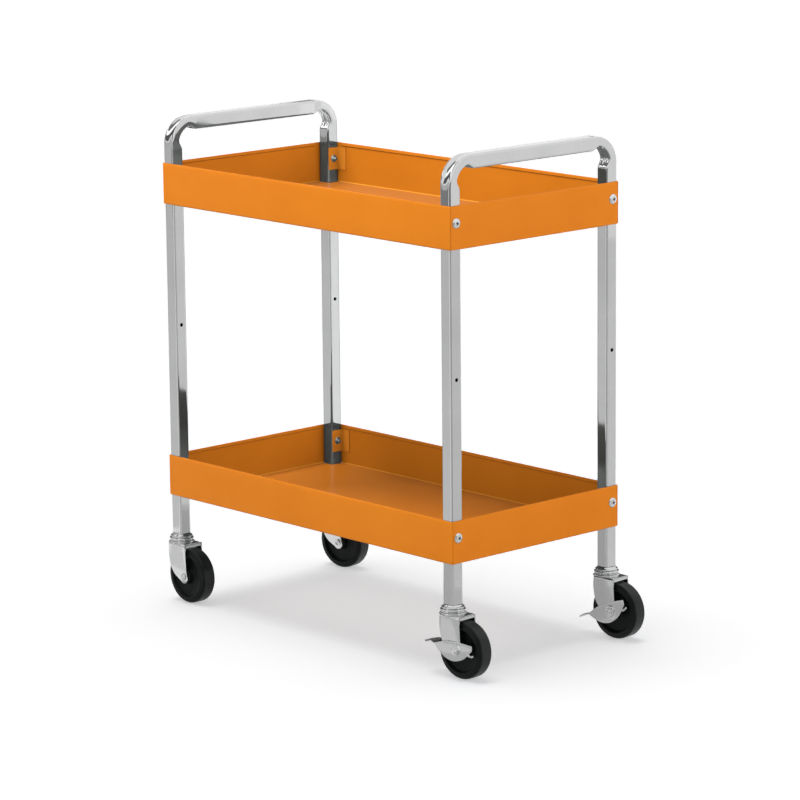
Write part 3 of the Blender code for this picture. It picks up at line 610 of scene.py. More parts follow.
def tray_piece(half_x, half_y, depth, leg_x, leg_y):
    """A folded pan with hemmed rims, its bottom at Z = 0. Its floor folds are painted lighter, a painted
    highlight, and its hems' under-faces darker, painted shade.
    """
    openings = pan_openings(half_x, half_y, depth, leg_x, leg_y)
    bm = bmesh_of(boolean(pan_shell(half_x, half_y, depth), openings, "pan"))
    for side, half, other in (("X", half_x, half_y), ("Y", half_y, half_x)):
        for sign in (-1, 1):
            hem(bm, side, sign, half, other - HEM_END_FROM_CORNER, depth)
    tray = finish_mesh(bm, "tray", ENAMEL)
    tray.materials.append(HEM_PAINTED_SHADE_ENAMEL)
    tray.materials.append(FOLD_PAINTED_HIGHLIGHT_ENAMEL)
    # Faces on the floor folds take the lighter enamel: a painted highlight.
    for face in tray.polygons:
        if TRAY_SHEET < face.center.z < FOLD_RADIUS and 0.35 < face.normal.z < 0.93:
            face.material_index = 2
    return tray


def hem(bm, side, sign, half, reach, depth):
    """The edge folded over inside a wall's rim: a strip between the corners, with painted shade on its
    under-face.
    """
    outer = half - TRAY_SHEET + 0.3 * MM
    inner = half - TRAY_SHEET - HEM_THICKNESS
    top = depth - 0.1 * MM
    low = depth - HEM_HEIGHT
    soft = 0.55 * MM
    section = [(outer, top)] + arc((inner + soft, top - soft), soft, 90, 180, 3)
    section += [(inner, low), (outer, low - HEM_CREASE)]
    ends = []
    for along in (-reach, reach):
        ring = []
        for out, z in section:
            spot = (sign * out, along, z) if side == "X" else (along, sign * out, z)
            ring.append(bm.verts.new(spot))
        ends.append(ring)
    under = skin(bm, ends)[-2]
    # The under-face takes the darker enamel: painted shade.
    under.material_index = 1


def tube_ring(share, phase):
    """A tube's section, as (across, outward) points.

    Share is how far the bend squeezes it, and phase moves the small folds of its squeezed side across it.
    FACE_FROM is where its faces begin, as a share of half its size.
    """
    half = TUBE / 2
    middle = half - TUBE_CORNER
    quarters = ((0, 1, 1), (90, -1, 1), (180, -1, -1), (270, 1, -1))
    corners = [arc((sa * middle, so * middle), TUBE_CORNER, start, start + 90, TUBE_CORNER_STEPS)
               for start, sa, so in quarters]
    raw = []
    for rounding, following in zip(corners, corners[1:] + corners[:1]):
        raw += rounding
        first, second = rounding[-1], following[0]
        for step in range(1, TUBE_FACE_STEPS):
            t = step / TUBE_FACE_STEPS
            raw.append((first[0] + (second[0] - first[0]) * t, first[1] + (second[1] - first[1]) * t))
    points = []
    for across, outward in raw:
        lift = BEND_PINCH * share * (half - outward) / TUBE
        u = across / half
        v = outward / half
        if v < -FACE_FROM:
            lift += share * (1.0 - u * u) * (CREASE + FOLD_DEPTH * cos(FOLDS * pi * u + phase))
        if v > FACE_FROM:
            lift -= OUTER_DIP * share * (1.0 - u * u) ** 2
        bulge = 0.0
        if abs(u) > FACE_FROM:
            bulge = copysign(SIDE_BULGE * share * max(0.0, 1.0 - v * v), u)
        points.append((across + bulge, outward + lift))
    return points


def frame_path(leg_y, foot, top):
    """Stations along an end frame: centre, outward direction, squeeze and fold phase, from foot to foot."""
    bend = BEND_RADIUS * pi / 2
    start, end = -PINCH_LEAD, bend + PINCH_LEAD
    centre = Vector((0.0, BEND_RADIUS - leg_y, top - TUBE / 2 - BEND_RADIUS))
    straight = centre.z - PINCH_LEAD - foot
    half = []
    for step in range(8):
        spot = Vector((0.0, -leg_y, foot + straight * step / 8))
        half.append((spot, Vector((0.0, -1.0, 0.0)), 0.0, 0.0))
    for step in range(BEND_STEPS + 1):
        mark = start + (end - start) * step / BEND_STEPS
        bent = max(0.0, min(bend, mark))
        turn = bent / BEND_RADIUS
        outward = Vector((0.0, -cos(turn), sin(turn)))
        along = Vector((0.0, sin(turn), cos(turn)))
        depth = max(0.0, min(1.0, (min(mark, bend - mark) + PINCH_LEAD) / PINCH_RUN))
        share = depth * depth * (3.0 - 2.0 * depth)
        phase = 2.2 * sin(2.0 * pi * mark / bend)
        half.append((centre + outward * BEND_RADIUS + along * (mark - bent), outward, share, phase))
    mirrored = []
    for spot, outward, share, phase in reversed(half):
        spot, outward = Vector((0.0, -spot.y, spot.z)), Vector((0.0, -outward.y, outward.z))
        mirrored.append((spot, outward, share, phase))
    return half + mirrored


def end_frame_piece(leg_y, foot, top, rims):
    """One bent square tube with its bends squeezed as a former leaves them, and its cross holes."""
    bm = bmesh.new()
    rings = []
    for centre, outward, share, phase in frame_path(leg_y, foot, top):
        rings.append([bm.verts.new(centre + Vector((across, 0.0, 0.0)) + outward * out)
                      for across, out in tube_ring(share, phase)])
    skin(bm, rings)
    tube = finish_mesh(bm, "tube", BRIGHT, 50.0)
    inside = TUBE / 2 - TUBE_WALL
    boxes, rods = [], []
    for side in (-1, 1):
        ys = sorted((side * leg_y - inside, side * leg_y + inside))
        boxes.append(((-inside, ys[0], foot - 5 * MM), (inside, ys[1], top - 3 * TUBE)))
        rods.append(((0.0, side * leg_y, SHELF_HOLE_HEIGHT), SHELF_HOLE_RADIUS, 2 * TUBE))
        for rim in rims:
            rods.append(((0.0, side * leg_y, rim - SCREW_BELOW_RIM), SCREW_HOLE_RADIUS, 2 * TUBE))
    tube = boolean(tube, many_boxes(boxes), "tube")
    tube = boolean(tube, many_boxes([], rods), "end_frame")
    tube.set_sharp_from_angle(angle=radians(50.0))
    return tube


def screw_piece():
    """A pan-head machine screw along Z, head up, with a cross recess and a threaded shank."""
    dome = [(SCREW_HEAD_RADIUS * sin(radians(a)), SCREW_HEAD_HEIGHT * cos(radians(a)))
            for a in (0, 10, 20, 30, 40, 50, 58, 66, 74, 80)]
    edge = [(SCREW_HEAD_RADIUS, 0.45 * MM), (SCREW_HEAD_RADIUS - 0.15 * MM, 0.0), (SCREW_RADIUS, 0.0)]
    tip = -(TRAY_SHEET + TUBE + BRACKET_SHEET + NUT_HEIGHT + SCREW_END_PROUD + 4 * SEAT_GAP)
    thread = []
    for turn in range(9, 0, -1):
        top = tip + THREAD_PITCH * turn + 0.2 * MM
        thread += [(SCREW_RADIUS, top), (SCREW_RADIUS - THREAD_DEPTH, top - THREAD_PITCH / 2)]
    profile = dome + edge + thread + [(SCREW_RADIUS - THREAD_DEPTH, tip + 0.2 * MM),
                                      (SCREW_RADIUS - 2 * THREAD_DEPTH, tip), (0.0, tip)]
    mesh = turned("screw", profile, SHANK_SIDES, PLATED, 40.0)
    half, width = RECESS_LENGTH / 2, RECESS_WIDTH / 2
    floor = SCREW_HEAD_HEIGHT - RECESS_DEPTH
    levels = ((half * 0.35, width * 0.5, floor), (half, width, SCREW_HEAD_HEIGHT + 0.4 * MM))
    for turn in (0.0, pi / 2):
        bm = bmesh.new()
        skin(bm, [[bm.verts.new((x * a, y * b, z)) for a, b in ((-1, -1), (1, -1), (1, 1), (-1, 1))]
                  for x, y, z in levels])
        bmesh.ops.transform(bm, matrix=Matrix.Rotation(turn, 4, "Z"), verts=bm.verts)
        mesh = boolean(mesh, outward_mesh(bm, "cross"), "screw")
    # The recess's walls and floor take the dark grime with painted shade.
    mesh.materials.append(RECESS_GRIME_AND_SHADE)
    for face in mesh.polygons:
        steep = abs(face.normal.z) < 0.6 or face.center.z < SCREW_HEAD_HEIGHT - 0.9 * RECESS_DEPTH
        if steep and 0.0 < face.center.z < SCREW_HEAD_HEIGHT and face.center.xy.length < RECESS_LENGTH / 2:
            face.material_index = 1
    return mesh


def nut_piece(name, width, height, bore, flange):
    """A hexagon nut standing on Z = 0, with chamfered corners and, if asked, a washer face."""
    across = width / 2 / cos(pi / 6)
    bm = bmesh.new()
    bmesh.ops.create_cone(bm, cap_ends=True, segments=6, radius1=across, radius2=across, depth=height,
                          matrix=Matrix.Translation((0.0, 0.0, height / 2)))
    body = finish_mesh(bm, "hex", PLATED)
    chamfer = across - width / 2
    low = 0.0 if flange else chamfer * 0.6
    limit = [(0.0, height), (width / 2 - 0.2 * MM, height), (across + 0.05 * MM, height - chamfer * 0.75),
             (across + 0.05 * MM, low), (width / 2 if low else across, 0.0), (0.0, 0.0)]
    bm = bmesh_of(boolean(body, turned("limit", limit, NUT_SIDES, PLATED), "hex", "INTERSECT"))
    if flange:
        lathe(bm, [(0.0, 0.9 * MM), (width / 2, 1.5 * MM), (flange - 0.5 * MM, 1.0 * MM),
                   (flange, 0.5 * MM), (flange, 0.0), (0.0, 0.0)], NUT_SIDES)
    body = finish_mesh(bm, "hex", PLATED)
    hole = [(0.0, 2 * height), (bore, 2 * height), (bore, -height), (0.0, -height)]
    return boolean(body, turned("hole", hole, BORE_SIDES, PLATED), name)


def wheel_piece():
    """A moulded wheel about Z: crowned tread, soft shoulders, a rim bead, a dished web and a long hub."""
    hub_end = FORK_INNER - HUB_SIDE_PLAY
    bore = AXLE_RADIUS + SEAT_GAP
    radius = WHEEL_RADIUS
    upper = [(bore, hub_end - 0.6 * MM), (bore + 0.6 * MM, hub_end), (12.4 * MM, hub_end),
             (13.3 * MM, hub_end - 0.5 * MM), (13.8 * MM, hub_end - 2.0 * MM)]
    web = ((14.6, 10.4), (15.6, 9.0), (17.4, 8.4), (34.0, 8.2), (36.2, 8.8), (37.4, 10.2), (38.6, 13.2),
           (39.3, 14.7), (40.0, 15.4), (40.9, 15.6), (41.8, 15.35), (42.3, 15.0), (43.4, 14.9))
    upper += [(r * MM, h * MM) for r, h in web]
    upper += arc((radius - 6.4 * MM, 8.4 * MM), 6.4 * MM, 80, 4, 9)
    upper += [(radius - 0.05 * MM, 5.0 * MM), (radius, 2.4 * MM), (radius, 0.5 * MM),
              (radius + 0.12 * MM, 0.12 * MM)]
    lower = [(r, -h) for r, h in reversed(upper)]
    mesh = turned("wheel", upper + lower, WHEEL_SIDES, RUBBER, 48.0)
    # The tread takes the lighter rubber: painted light.
    mesh.materials.append(TREAD)
    for face in mesh.polygons:
        if face.center.xy.length > radius - 0.7 * MM:
            face.material_index = 1
    return mesh


def fork_outline():
    """A cheek's outline of (x, z), Z from the floor: a swept front, the axle's eye and a splayed back."""
    height, length = FORK_TOP - WHEEL_RADIUS, TRAIL + FORK_FRONT
    shape = ((-0.02, 0.72), (0.02, 0.48), (0.09, 0.3), (0.2, 0.16), (0.4, 0.01))
    front = [(-FORK_FRONT, FORK_TOP)]
    front += [(-FORK_FRONT + a * length, WHEEL_RADIUS + b * height) for a, b in shape]
    eye = arc((TRAIL, WHEEL_RADIUS - 1.5 * MM), 11.0 * MM, 222, 352, 18)
    outline = spline(front + [eye[0]], 4)[:-1] + eye
    back = [(FORK_BACK + 3.5 * MM, WHEEL_RADIUS + 11.0 * MM),
            (FORK_BACK + 1.0 * MM, FORK_UNDER - 12.0 * MM),
            (FORK_BACK, FORK_UNDER - LIP), (FORK_BACK, FORK_TOP)]
    return outline + spline([eye[-1]] + back[:3], 4)[1:] + back[3:]


def fork_block():
    """A solid block of the fork's outline with the crown's two long edges rounded."""
    bm = bmesh.new()
    plate(bm, fork_outline(), -FORK_OUTER, FORK_OUTER)
    bmesh.ops.recalc_face_normals(bm, faces=bm.faces)
    crown = []
    for edge in bm.edges:
        level = all(abs(v.co.z - FORK_TOP) < 0.01 * MM for v in edge.verts)
        if level and abs(edge.verts[0].co.y - edge.verts[1].co.y) < 0.01 * MM:
            crown.append(edge)
    bmesh.ops.bevel(bm, geom=crown, offset=4.2 * MM, segments=8, profile=0.5, affect="EDGES")
    return finish_mesh(bm, "fork", STAMPED)


def fork_gap():
    """What is cut from the block for the wheel."""
    bm = bmesh.new()
    inner, bend = FORK_INNER, 2.2 * MM
    gap = [(-inner, -5 * MM), (inner, -5 * MM), (inner, FORK_UNDER - bend)]
    gap += arc((inner - bend, FORK_UNDER - bend), bend, 0, 90, 6)[1:]
    gap += arc((bend - inner, FORK_UNDER - bend), bend, 90, 180, 6)
    skin(bm, [[bm.verts.new((x, y, z)) for y, z in gap] for x in (-150 * MM, 150 * MM)])
    return outward_mesh(bm, "gap")


def back_lip(bm):
    """The lip folded down at the crown's back."""
    soft = 0.5 * MM
    lip_low, lip_inner = FORK_UNDER - LIP, FORK_BACK - FORK_SHEET
    lip = [(lip_inner, FORK_UNDER + soft), (lip_inner, lip_low + soft), (lip_inner + soft, lip_low),
           (FORK_BACK - soft, lip_low), (FORK_BACK, lip_low + soft), (FORK_BACK, FORK_TOP - 2 * soft),
           (FORK_BACK - soft, FORK_TOP - soft)]
    plate(bm, lip, soft - FORK_OUTER, FORK_OUTER - soft)


def ball_race(bm):
    """The ring pressed up out of the crown, on which the bearing runs."""
    bore = 5.9 * MM
    race = [(bore, RACE_TOP - 0.3 * MM), (17.0 * MM, RACE_TOP - 0.3 * MM), (18.5 * MM, RACE_TOP),
            (21.6 * MM, RACE_TOP)]
    race += arc((21.6 * MM, RACE_TOP - 1.2 * MM), 1.2 * MM, 75, 0, 5)
    race += [(23.1 * MM, FORK_TOP + 0.3 * MM), (24.0 * MM, FORK_TOP + 0.05 * MM),
             (24.4 * MM, FORK_TOP - 0.3 * MM), (bore, FORK_TOP - 0.3 * MM)]
    lathe(bm, race, RING_SIDES)


def fork_piece():
    """A stamped fork, Z from the floor: round crown folds, tapered cheeks, a back lip and the ball race."""
    block = boolean(fork_block(), fork_gap(), "fork")
    bm = bmesh_of(rounded(block, "fork", 0.45 * MM, 2, 50.0))
    back_lip(bm)
    ball_race(bm)
    return finish_mesh(bm, "fork", STAMPED, 40.0)


def cup_piece():
    """The bearing's upper cup, Z from the floor: stacked rings, a cone and a flat crown under the leg."""
    outer = [(5.8, 13.2), (15.0, 13.2), (15.8, 12.9), (16.6, 12.1), (17.2, 10.9), (18.1, 10.3), (19.4, 9.7),
             (20.1, 9.0), (20.3, 8.3), (20.0, 7.6), (19.5, 7.1), (19.4, 6.6), (19.9, 6.2), (21.0, 5.9),
             (21.9, 5.4), (22.4, 4.6), (22.5, 3.6), (22.3, 2.9), (21.7, 2.4), (21.5, 1.9), (21.7, 1.4),
             (21.9, 0.9), (21.8, 0.35), (21.4, 0.0), (20.0, 0.0), (20.0, 3.2), (15.5, 9.0), (5.8, 9.2)]
    profile = [(r * MM, CUP_BOTTOM + h * MM) for r, h in outer]
    return turned("bearing_cup", profile, RING_SIDES, BRIGHT, 42.0)


def axle_piece(name, grip, riveted):
    """An axle along Z, head down. Z = 0 is under the head. The head of a riveted one is spun over."""
    tip = grip + AXLE_END_PROUD
    head = AXLE_HEAD_RADIUS
    profile = [(0.0, tip), (3.2 * MM, tip), (AXLE_RADIUS - 0.3 * MM, tip - 0.6 * MM)]
    for turn in range(7):
        top = tip - 1.0 * MM - THREAD_PITCH * turn
        profile += [(AXLE_RADIUS, top), (AXLE_RADIUS - THREAD_DEPTH, top - THREAD_PITCH / 2)]
    profile += [(AXLE_RADIUS, tip - 9.0 * MM), (AXLE_RADIUS, 0.0), (head, 0.0), (head, -1.2 * MM)]
    crown = ((6.1, 2.2), (5.2, 2.9), (4.0, 3.3), (0.0, 3.4))
    if riveted:
        crown = ((6.3, 1.9), (5.7, 2.5), (4.9, 2.8), (4.1, 2.6), (3.5, 2.0), (3.1, 1.1), (2.6, 0.9),
                 (2.2, 1.6), (1.6, 2.1), (0.8, 2.3), (0.0, 2.35))
    profile += [(r * MM, -h * MM) for r, h in crown]
    return turned(name, profile, SHANK_SIDES, PLATED, 45.0)


def lever_outline():
    """The lever plate's outline of (x, z): a lens with a blunt back end. The pedal end is at -X."""
    span = LEVER_FRONT + LEVER_BACK
    lower = ((0.14, 0.28), (0.26, 0.71), (0.4, 0.97), (0.56, 1.0), (0.76, 0.66), (0.9, 0.1))
    upper = ((0.76, 1.02), (0.48, 0.98), (0.3, 0.9))
    low = [(a * span - LEVER_FRONT, -b * LEVER_DROP) for a, b in lower]
    high = [(a * span - LEVER_FRONT, b * LEVER_RISE) for a, b in upper]
    front = (-LEVER_FRONT, LEVER_FRONT_HEIGHT)
    back_low, back_high = (LEVER_BACK, LEVER_FRONT_HEIGHT), (LEVER_BACK, LEVER_BACK_HEIGHT)
    under = spline([front] + low + [back_low], 4)
    over = spline([back_high] + high + [front], 4)
    corner = [(LEVER_BACK + 0.4 * MM, LEVER_FRONT_HEIGHT + 4.0 * MM),
              (LEVER_BACK + 0.2 * MM, LEVER_BACK_HEIGHT - 2.0 * MM)]
    return under + corner + over[:-1]


def strip(bm, path, widths, thickness):
    """A bent strip. Path gives centre points, widths gives vectors from its centre to its edge."""
    rings = []
    for i, (spot, wide) in enumerate(zip(path, widths)):
        ahead = Vector(path[min(i + 1, len(path) - 1)]) - Vector(path[max(i - 1, 0)])
        wide = Vector(wide)
        up = ahead.cross(wide).normalized() * thickness / 2
        soft = wide * 0.93
        ring = (wide, soft + up, up - soft, -wide, -soft - up, soft - up)
        rings.append([bm.verts.new(Vector(spot) + corner) for corner in ring])
    skin(bm, rings)


def pedal(bm):
    """The pad that a foot presses, turned inwards across the wheel and narrower at its end."""
    path, widths = [], []
    for step in range(13):
        t = step / 12
        rise = 0.9 * MM * sin(t * pi * 1.4) - 1.2 * MM * t * t
        path.append((-LEVER_FRONT + 1.5 * MM - (PEDAL_LENGTH + 1.5 * MM) * t,
                     PEDAL_WIDTH / 2 - LEVER_SHEET, LEVER_FRONT_HEIGHT + rise))
        narrow = 1.0 - 0.32 * max(0.0, (t - 0.62) / 0.38) ** 2
        widths.append((0.0, PEDAL_WIDTH / 2 * narrow, 0.0))
    strip(bm, path, widths, LEVER_SHEET)


def release_tab(bm):
    """The narrow finger at the lever's back, bent outwards."""
    finger = [(22.0, -1.0, 1.0), (28.0, -1.3, -1.2), (33.0, -2.2, -2.0), (37.0, -4.6, -1.6),
              (41.0, -6.6, -0.6), (44.6, -8.0, 0.8)]
    spots = [p * MM for p in spline(finger, 4)]
    wide = [(0.0, 0.0, 2.6 * MM * (1.0 - 0.35 * i / (len(spots) - 1))) for i in range(len(spots))]
    strip(bm, spots, wide, LEVER_SHEET * 0.9)


def pivot_boss(bm):
    """The raised ring round the lever's axle hole."""
    boss = ((4.4, 1.1), (9.2, 1.1), (10.4, 0.9), (11.6, 0.3), (12.6, -0.1), (4.4, -0.1))
    dome = bmesh.new()
    lathe(dome, [(r * MM, LEVER_SHEET + h * MM) for r, h in boss], BOSS_SIDES)
    dome.transform(Matrix.Rotation(pi / 2, 4, "X"))
    bm.from_mesh(mesh_of(dome, "boss"))


def lever_piece():
    """A foot brake lever. The origin is on the axle at the plate's inner side; outwards is -Y."""
    bm = bmesh.new()
    plate(bm, lever_outline(), -LEVER_SHEET, 0.0)
    bm = bmesh_of(rounded(finish_mesh(bm, "lever", STAMPED), "lever", 0.55 * MM, 3, 60.0))
    pedal(bm)
    release_tab(bm)
    pivot_boss(bm)
    return finish_mesh(bm, "brake_lever", STAMPED, 42.0)


def build_cart():
    """Trays, end frames, screws and nuts, in the places of their solids. Each screw has its own turn."""
    trays = {level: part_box(level + "_tray") for level in ("lower", "upper")}
    low, high = trays["upper"]
    middle = (low + high) / 2
    half_x, half_y, depth = (high.x - low.x) / 2, (high.y - low.y) / 2, high.z - low.z
    frame_low, frame_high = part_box("end_frame_right")
    leg_x = frame_high.x - TUBE / 2 - middle.x
    leg_y = (frame_high.y - frame_low.y) / 2 - TUBE / 2
    pan = tray_piece(half_x, half_y, depth, leg_x, leg_y)
    for level, (bottom, _) in trays.items():
        put(level + "_tray_detail", pan, "cart", Matrix.Translation((middle.x, middle.y, bottom.z)),
            [level + "_tray"])
    rims = [high.z for _, high in trays.values()]
    tube = end_frame_piece(leg_y, frame_low.z, frame_high.z, rims)
    for side, sign in (("left", -1), ("right", 1)):
        put("end_frame_detail_" + side, tube, "cart",
            Matrix.Translation((middle.x + sign * leg_x, middle.y, 0.0)), ["end_frame_" + side])
    screw = screw_piece()
    nut = nut_piece("flange_nut", NUT_WIDTH, NUT_HEIGHT, SCREW_RADIUS + 0.1 * MM, NUT_FLANGE_RADIUS)
    for level, rim in zip(trays, rims):
        for index, corner in enumerate(CORNERS):
            sx = 1 if corner.endswith("right") else -1
            sy = 1 if corner.startswith("far") else -1
            spot = Vector((middle.x + sx * leg_x, middle.y + sy * leg_y, rim - SCREW_BELOW_RIM))
            angle = 20.0 + 37.0 * index + (11.0 if level == "upper" else 0.0)
            spin = Matrix.Rotation(radians(angle), 4, "Z")
            fixings = (("_screw_", screw, TRAY_SHEET, sx), ("_nut_", nut, BRACKET_SHEET, -sx))
            for kind, piece, sheet, facing in fixings:
                seat = spot + Vector((facing * (TUBE / 2 + 2 * SEAT_GAP + sheet), 0.0, 0.0))
                turn = Matrix.Rotation(facing * pi / 2, 4, "Y")
                put(level + kind + "detail_" + corner, piece, "cart",
                    Matrix.Translation(seat) @ turn @ spin, [level + kind + corner])


def build_casters():
    """Wheels, forks, cups, axles and brake levers, on their own bodies."""
    fork, wheel, cup, lever = fork_piece(), wheel_piece(), cup_piece(), lever_piece()
    grip = 2 * FORK_OUTER + 3 * SEAT_GAP + AXLE_NUT_HEIGHT
    plain = axle_piece("riveted_axle", grip, True)
    braked = axle_piece("axle_bolt", grip + LEVER_SHEET + SEAT_GAP, False)
    nut = nut_piece("axle_nut", AXLE_NUT_WIDTH, AXLE_NUT_HEIGHT, AXLE_RADIUS + 0.05 * MM, 0.0)
    side = FORK_OUTER + SEAT_GAP
    to_near = Matrix.Rotation(pi / 2, 4, "X")
    to_far = Matrix.Rotation(-pi / 2, 4, "X")
    for corner in CORNERS:
        pivot = Vector(JOINTS["swivel_" + corner]["pos_m"])
        axle = Vector(JOINTS["wheel_spin_" + corner]["pos_m"])
        heading = atan2(axle.y - pivot.y, axle.x - pivot.x)
        swivel = Matrix.Translation((pivot.x, pivot.y, 0.0)) @ Matrix.Rotation(heading, 4, "Z")
        line = swivel @ Matrix.Translation((TRAIL, 0.0, WHEEL_RADIUS))
        body = "swivel_" + corner
        put("bearing_cup_detail_" + corner, cup, "cart", Matrix.Translation((pivot.x, pivot.y, 0.0)),
            ["bearing_cup_" + corner])
        put("fork_detail_" + corner, fork, body, swivel, ["fork_" + corner])
        put("wheel_detail_" + corner, wheel, "wheel_" + corner, line @ to_near, ["wheel_" + corner])
        bolt, head, seat, facing = plain, -side, side, to_far
        if corner in BRAKED:
            bolt, head, seat, facing = braked, side, -(side + LEVER_SHEET + SEAT_GAP), to_near
        put("axle_detail_" + corner, bolt, body, line @ Matrix.Translation((0.0, head, 0.0)) @ facing,
            ["axle_bolt_" + corner])
        put("axle_nut_detail_" + corner, nut, body, line @ Matrix.Translation((0.0, seat, 0.0)) @ facing,
            ["axle_nut_" + corner])
        if corner in BRAKED:
            low_range = JOINTS["brake_" + corner]["range_deg"][0]
            tilt = Matrix.Rotation(radians(-BRAKE_TRAVEL if low_range < 0 else 0.0), 4, "Y")
            put("brake_lever_detail_" + corner, lever, "brake_lever_" + corner,
                line @ Matrix.Translation((0.0, -side, 0.0)) @ tilt, ["brake_lever_" + corner])


def dress_solids():
    """Materials for the solids that stay."""
    for name, node in NODES.items():
        if not node.hide_render:
            node.data.materials.clear()
            # Brackets take the lighter enamel copy: painted light.
            node.data.materials.append(BRACKET_PAINTED_LIGHT_ENAMEL if "bracket" in name else PLATED)


def flat_square(name, half):
    """A flat square with a bare material. Returns the object, its node tree and its surface socket."""
    bm = bmesh.new()
    bmesh.ops.create_grid(bm, x_segments=1, y_segments=1, size=half)
    mesh = mesh_of(bm, name)
    material = bpy.data.materials.new(name)
    material.use_nodes = True
    mesh.materials.append(material)
    tree = material.node_tree
    tree.nodes.clear()
    return new_object(name, mesh), tree, tree.nodes.new("ShaderNodeOutputMaterial").inputs["Surface"]


def build_floor():
    """A pale floor that shows white where the light is full and keeps the cart's soft shadow."""
    floor, tree, surface = flat_square("floor", FLOOR_HALF)
    diffuse = add_node(tree, "ShaderNodeBsdfDiffuse", Color=FLOOR_COLOUR)
    glow = add_node(tree, "ShaderNodeEmission", Color=GLOW_TINT)
    total = tree.nodes.new("ShaderNodeAddShader")
    strength = remap(tree, path_shares(tree, SEEN_BY), 0.0, 1.0, 0.0, FLOOR_GLOW)
    tree.links.new(strength, glow.inputs["Strength"])
    tree.links.new(diffuse.outputs[0], total.inputs[0])
    tree.links.new(glow.outputs[0], total.inputs[1])
    tree.links.new(total.outputs[0], surface)
    groups = []
    for name, state in (("all_but_floor", "EXCLUDE"), ("floor_alone", "INCLUDE")):
        group = bpy.data.collections.new(name)
        group.objects.link(floor)
        group.collection_objects[0].light_linking.link_state = state
        groups.append(group)
    return groups


def build_world():
    """A plain white studio. Where it isn't seen but lights, its walls and ceiling have their own levels."""
    world = bpy.data.worlds.new("studio")
    bpy.context.scene.world = world
    world.use_nodes = True
    tree = world.node_tree
    back = tree.nodes["Background"]
    back.inputs["Color"].default_value = (1.0, 1.0, 1.0, 1.0)
    height = coordinates(tree, "Generated")["Z"]
    level = remap(tree, height, WALL_SINE, CEILING_SINE, WALL_LIGHT, CEILING_LIGHT)
    tree.links.new(maths(tree, "MAXIMUM", level, path_shares(tree, SEEN_BY)), back.inputs["Strength"])


def overhead_light(name, strength, tilt, lit=None):
    """Soft even light from above. Strength is a share of white. Tilt moves its shadow aside."""
    data = bpy.data.lights.new(name, "SUN")
    data.angle = TOP_ANGLE
    data.energy = strength * pi
    lamp = new_object(name, data)
    lamp.rotation_euler = (radians(tilt[0]), radians(tilt[1]), 0.0)
    lamp.visible_glossy = False
    if lit is not None:
        lamp.light_linking.receiver_collection = lit


def soft_box(name, spot, size, power, tint=(1.0, 1.0, 1.0)):
    """A soft box that points at the cart. Polished metal doesn't show it. It doesn't light the floor."""
    data = bpy.data.lights.new(name, "AREA")
    data.shape = "RECTANGLE"
    data.size, data.size_y = size
    data.energy = power
    data.color = tint
    lamp = new_object(name, data)
    lamp.location = spot
    lamp.rotation_mode = "QUATERNION"
    lamp.rotation_quaternion = (Vector(BOX_AIM) - Vector(spot)).to_track_quat("-Z", "Y")
    lamp.visible_glossy = False
    lamp.light_linking.receiver_collection = ALL_BUT_FLOOR


def card(name, bearing, foot, head, span, tones, fade=1.0):
    """A studio card that only polished metal sees.

    Bearing is its direction from the cart. Foot and head are its two level edges, as (distance, height).
    Span is its left and right edge as the cart sees it. Tones are its greys at the left and the right.
    Fade is the share of them that its head has.
    """
    piece, tree, surface = flat_square(name, 0.5)
    angle = radians(bearing)
    out = Vector((cos(angle), sin(angle), 0.0))
    up = Vector((0.0, 0.0, 1.0))
    across = out.cross(up)
    low, high = out * foot[0] + up * foot[1], out * head[0] + up * head[1]
    rise = (high - low).normalized()
    turn = Matrix((across, rise, across.cross(rise))).transposed().to_4x4()
    middle = (low + high) / 2 + across * (span[0] + span[1]) / 2
    size = Matrix.Diagonal((span[1] - span[0], (high - low).length, 1.0, 1.0))
    piece.matrix_world = Matrix.Translation(middle) @ turn @ size
    spot = coordinates(tree, "Object")
    sideways = remap(tree, spot["X"], -0.5, 0.5, *tones)
    upwards = remap(tree, spot["Y"], -0.5, 0.5, 1.0, fade)
    glow = add_node(tree, "ShaderNodeEmission", Color=(1.0, 1.0, 1.0, 1.0))
    tree.links.new(maths(tree, "MULTIPLY", sideways, upwards), glow.inputs["Strength"])
    tree.links.new(glow.outputs[0], surface)
    piece.visible_camera = False
    piece.visible_diffuse = False
    piece.visible_shadow = False
    piece.visible_transmission = False


def build_camera():
    """The camera at the photograph's angle."""
    data = bpy.data.cameras.new("camera")
    data.sensor_width = SENSOR
    data.lens = LENS
    data.clip_end = 100.0
    camera = new_object("camera", data)
    azimuth, elevation = radians(CAMERA_AZIMUTH), radians(CAMERA_ELEVATION)
    back = Vector((sin(azimuth) * cos(elevation), -cos(azimuth) * cos(elevation),
                   sin(elevation)))
    right = (-back).cross(Vector((0.0, 0.0, 1.0))).normalized()
    up = right.cross(-back)
    roll = radians(CAMERA_ROLL)
    across = right * cos(roll) + up * sin(roll)
    above = up * cos(roll) - right * sin(roll)
    turn = Matrix((across, above, back)).transposed().to_4x4()
    camera.matrix_world = Matrix.Translation(Vector(CAMERA_TARGET) + back * CAMERA_DISTANCE) @ turn
    bpy.context.scene.camera = camera


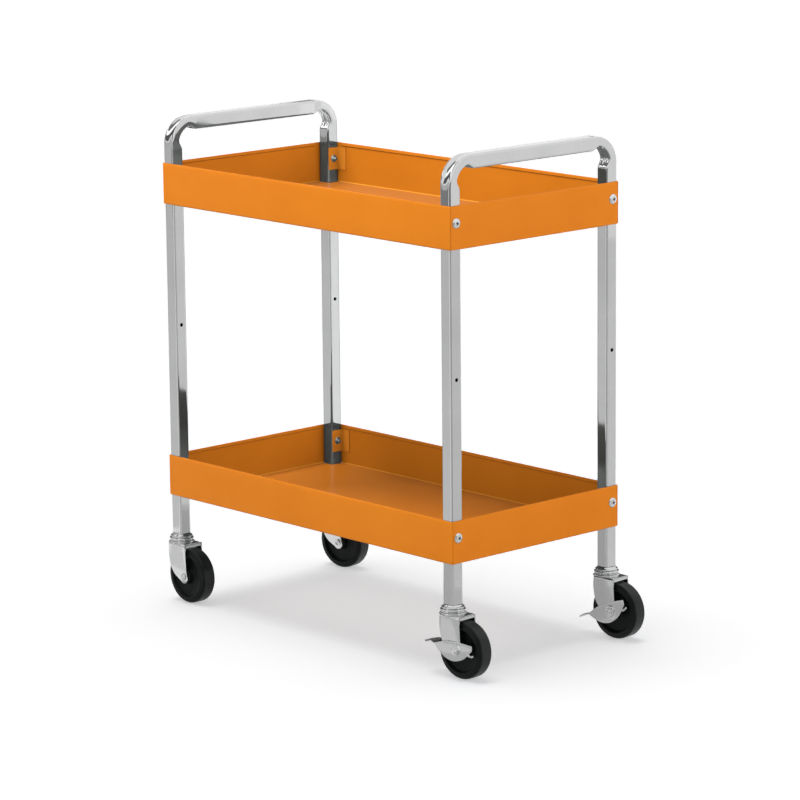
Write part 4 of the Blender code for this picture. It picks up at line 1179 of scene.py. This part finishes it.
build_cart()
build_casters()
dress_solids()
ALL_BUT_FLOOR, FLOOR_ALONE = build_floor()
build_world()
overhead_light("overhead", TOP_LIGHT, TOP_TILT)
overhead_light("floor_overhead", SHADOW_LIGHT, SHADOW_TILT, FLOOR_ALONE)
soft_box("left_box", (-0.7, -3.3, 1.0), BOX_SIZE, 9.0)
soft_box("left_high_box", (-0.5, -1.9, 3.9), (2.2, 1.4), 121.0)
soft_box("right_box", (3.3, 1.0, 1.0), BOX_SIZE, 27.0, WARM)
soft_box("right_high_box", (2.6, 0.8, 3.3), BOX_SIZE, 39.0, WARM)
card("left_card", LEFT, (1.0, 0.0), (1.0, 0.95), (-0.85, 0.85), (0.71, 0.75), 0.78)
card("near_band", LEFT, (0.98, 0.62), (0.98, 0.78), (-0.85, -0.1), (0.27, 0.27))
card("far_band", LEFT, (0.98, 0.62), (0.98, 0.78), (0.25, 0.85), (0.3, 0.3))
card("left_gap", 215.0, (1.6, 1.12), (1.6, 1.5), (-1.3, 1.3), (0.12, 0.12))
card("left_strip", 210.0, (1.6, 1.5), (1.6, 2.0), (-1.3, 1.3), (1.7, 1.7))
card("left_upper_gap", 205.0, (1.6, 2.0), (1.6, 2.95), (-1.3, 1.3), (0.13, 0.13), 2.0)
card("near_sheet", LEFT, (0.36, 0.004), (0.7, 0.004), (-0.85, -0.27), (0.52, 0.52))
card("near_fork_sheet", LEFT, (0.0, 0.005), (0.34, 0.005), (-0.5, -0.3), (0.76, 0.76))
card("far_fork_sheet", LEFT, (0.6, 0.005), (0.95, 0.005), (0.0, 0.26), (0.8, 0.8))
card("middle_sheet", LEFT, (-0.35, 0.004), (0.5, 0.004), (-0.27, 0.25), (0.48, 0.48))
card("front_card", FRONT, (1.2, 0.0), (1.2, 0.62), (-0.95, 0.8), (0.3, 0.65))
card("front_sheet", FRONT, (0.2, 0.004), (1.2, 0.004), (-0.95, 0.8), (0.55, 0.6))
card("front_band", FRONT, (1.2, 0.62), (1.2, 0.9), (-0.95, 0.8), (0.22, 0.22))
card("right_card", RIGHT, (1.0, 0.0), (1.0, 0.62), (-0.27, 0.8), (0.82, 0.61))
card("right_top", RIGHT, (1.0, 0.62), (1.0, 0.95), (-0.3, 0.8), (0.93, 0.86))
card("right_glow", RIGHT, (1.0, 0.7), (1.0, 0.95), (-0.8, -0.3), (1.25, 1.1))
card("right_sheet", RIGHT, (0.3, 0.004), (1.0, 0.004), (-0.27, 0.8), (0.81, 0.71))
card("back_card", BACK, (1.2, 0.0), (1.2, 1.0), (-1.2, 1.2), (0.08, 0.08))
build_camera()
bpy.context.scene.view_settings.view_transform = "Standard"
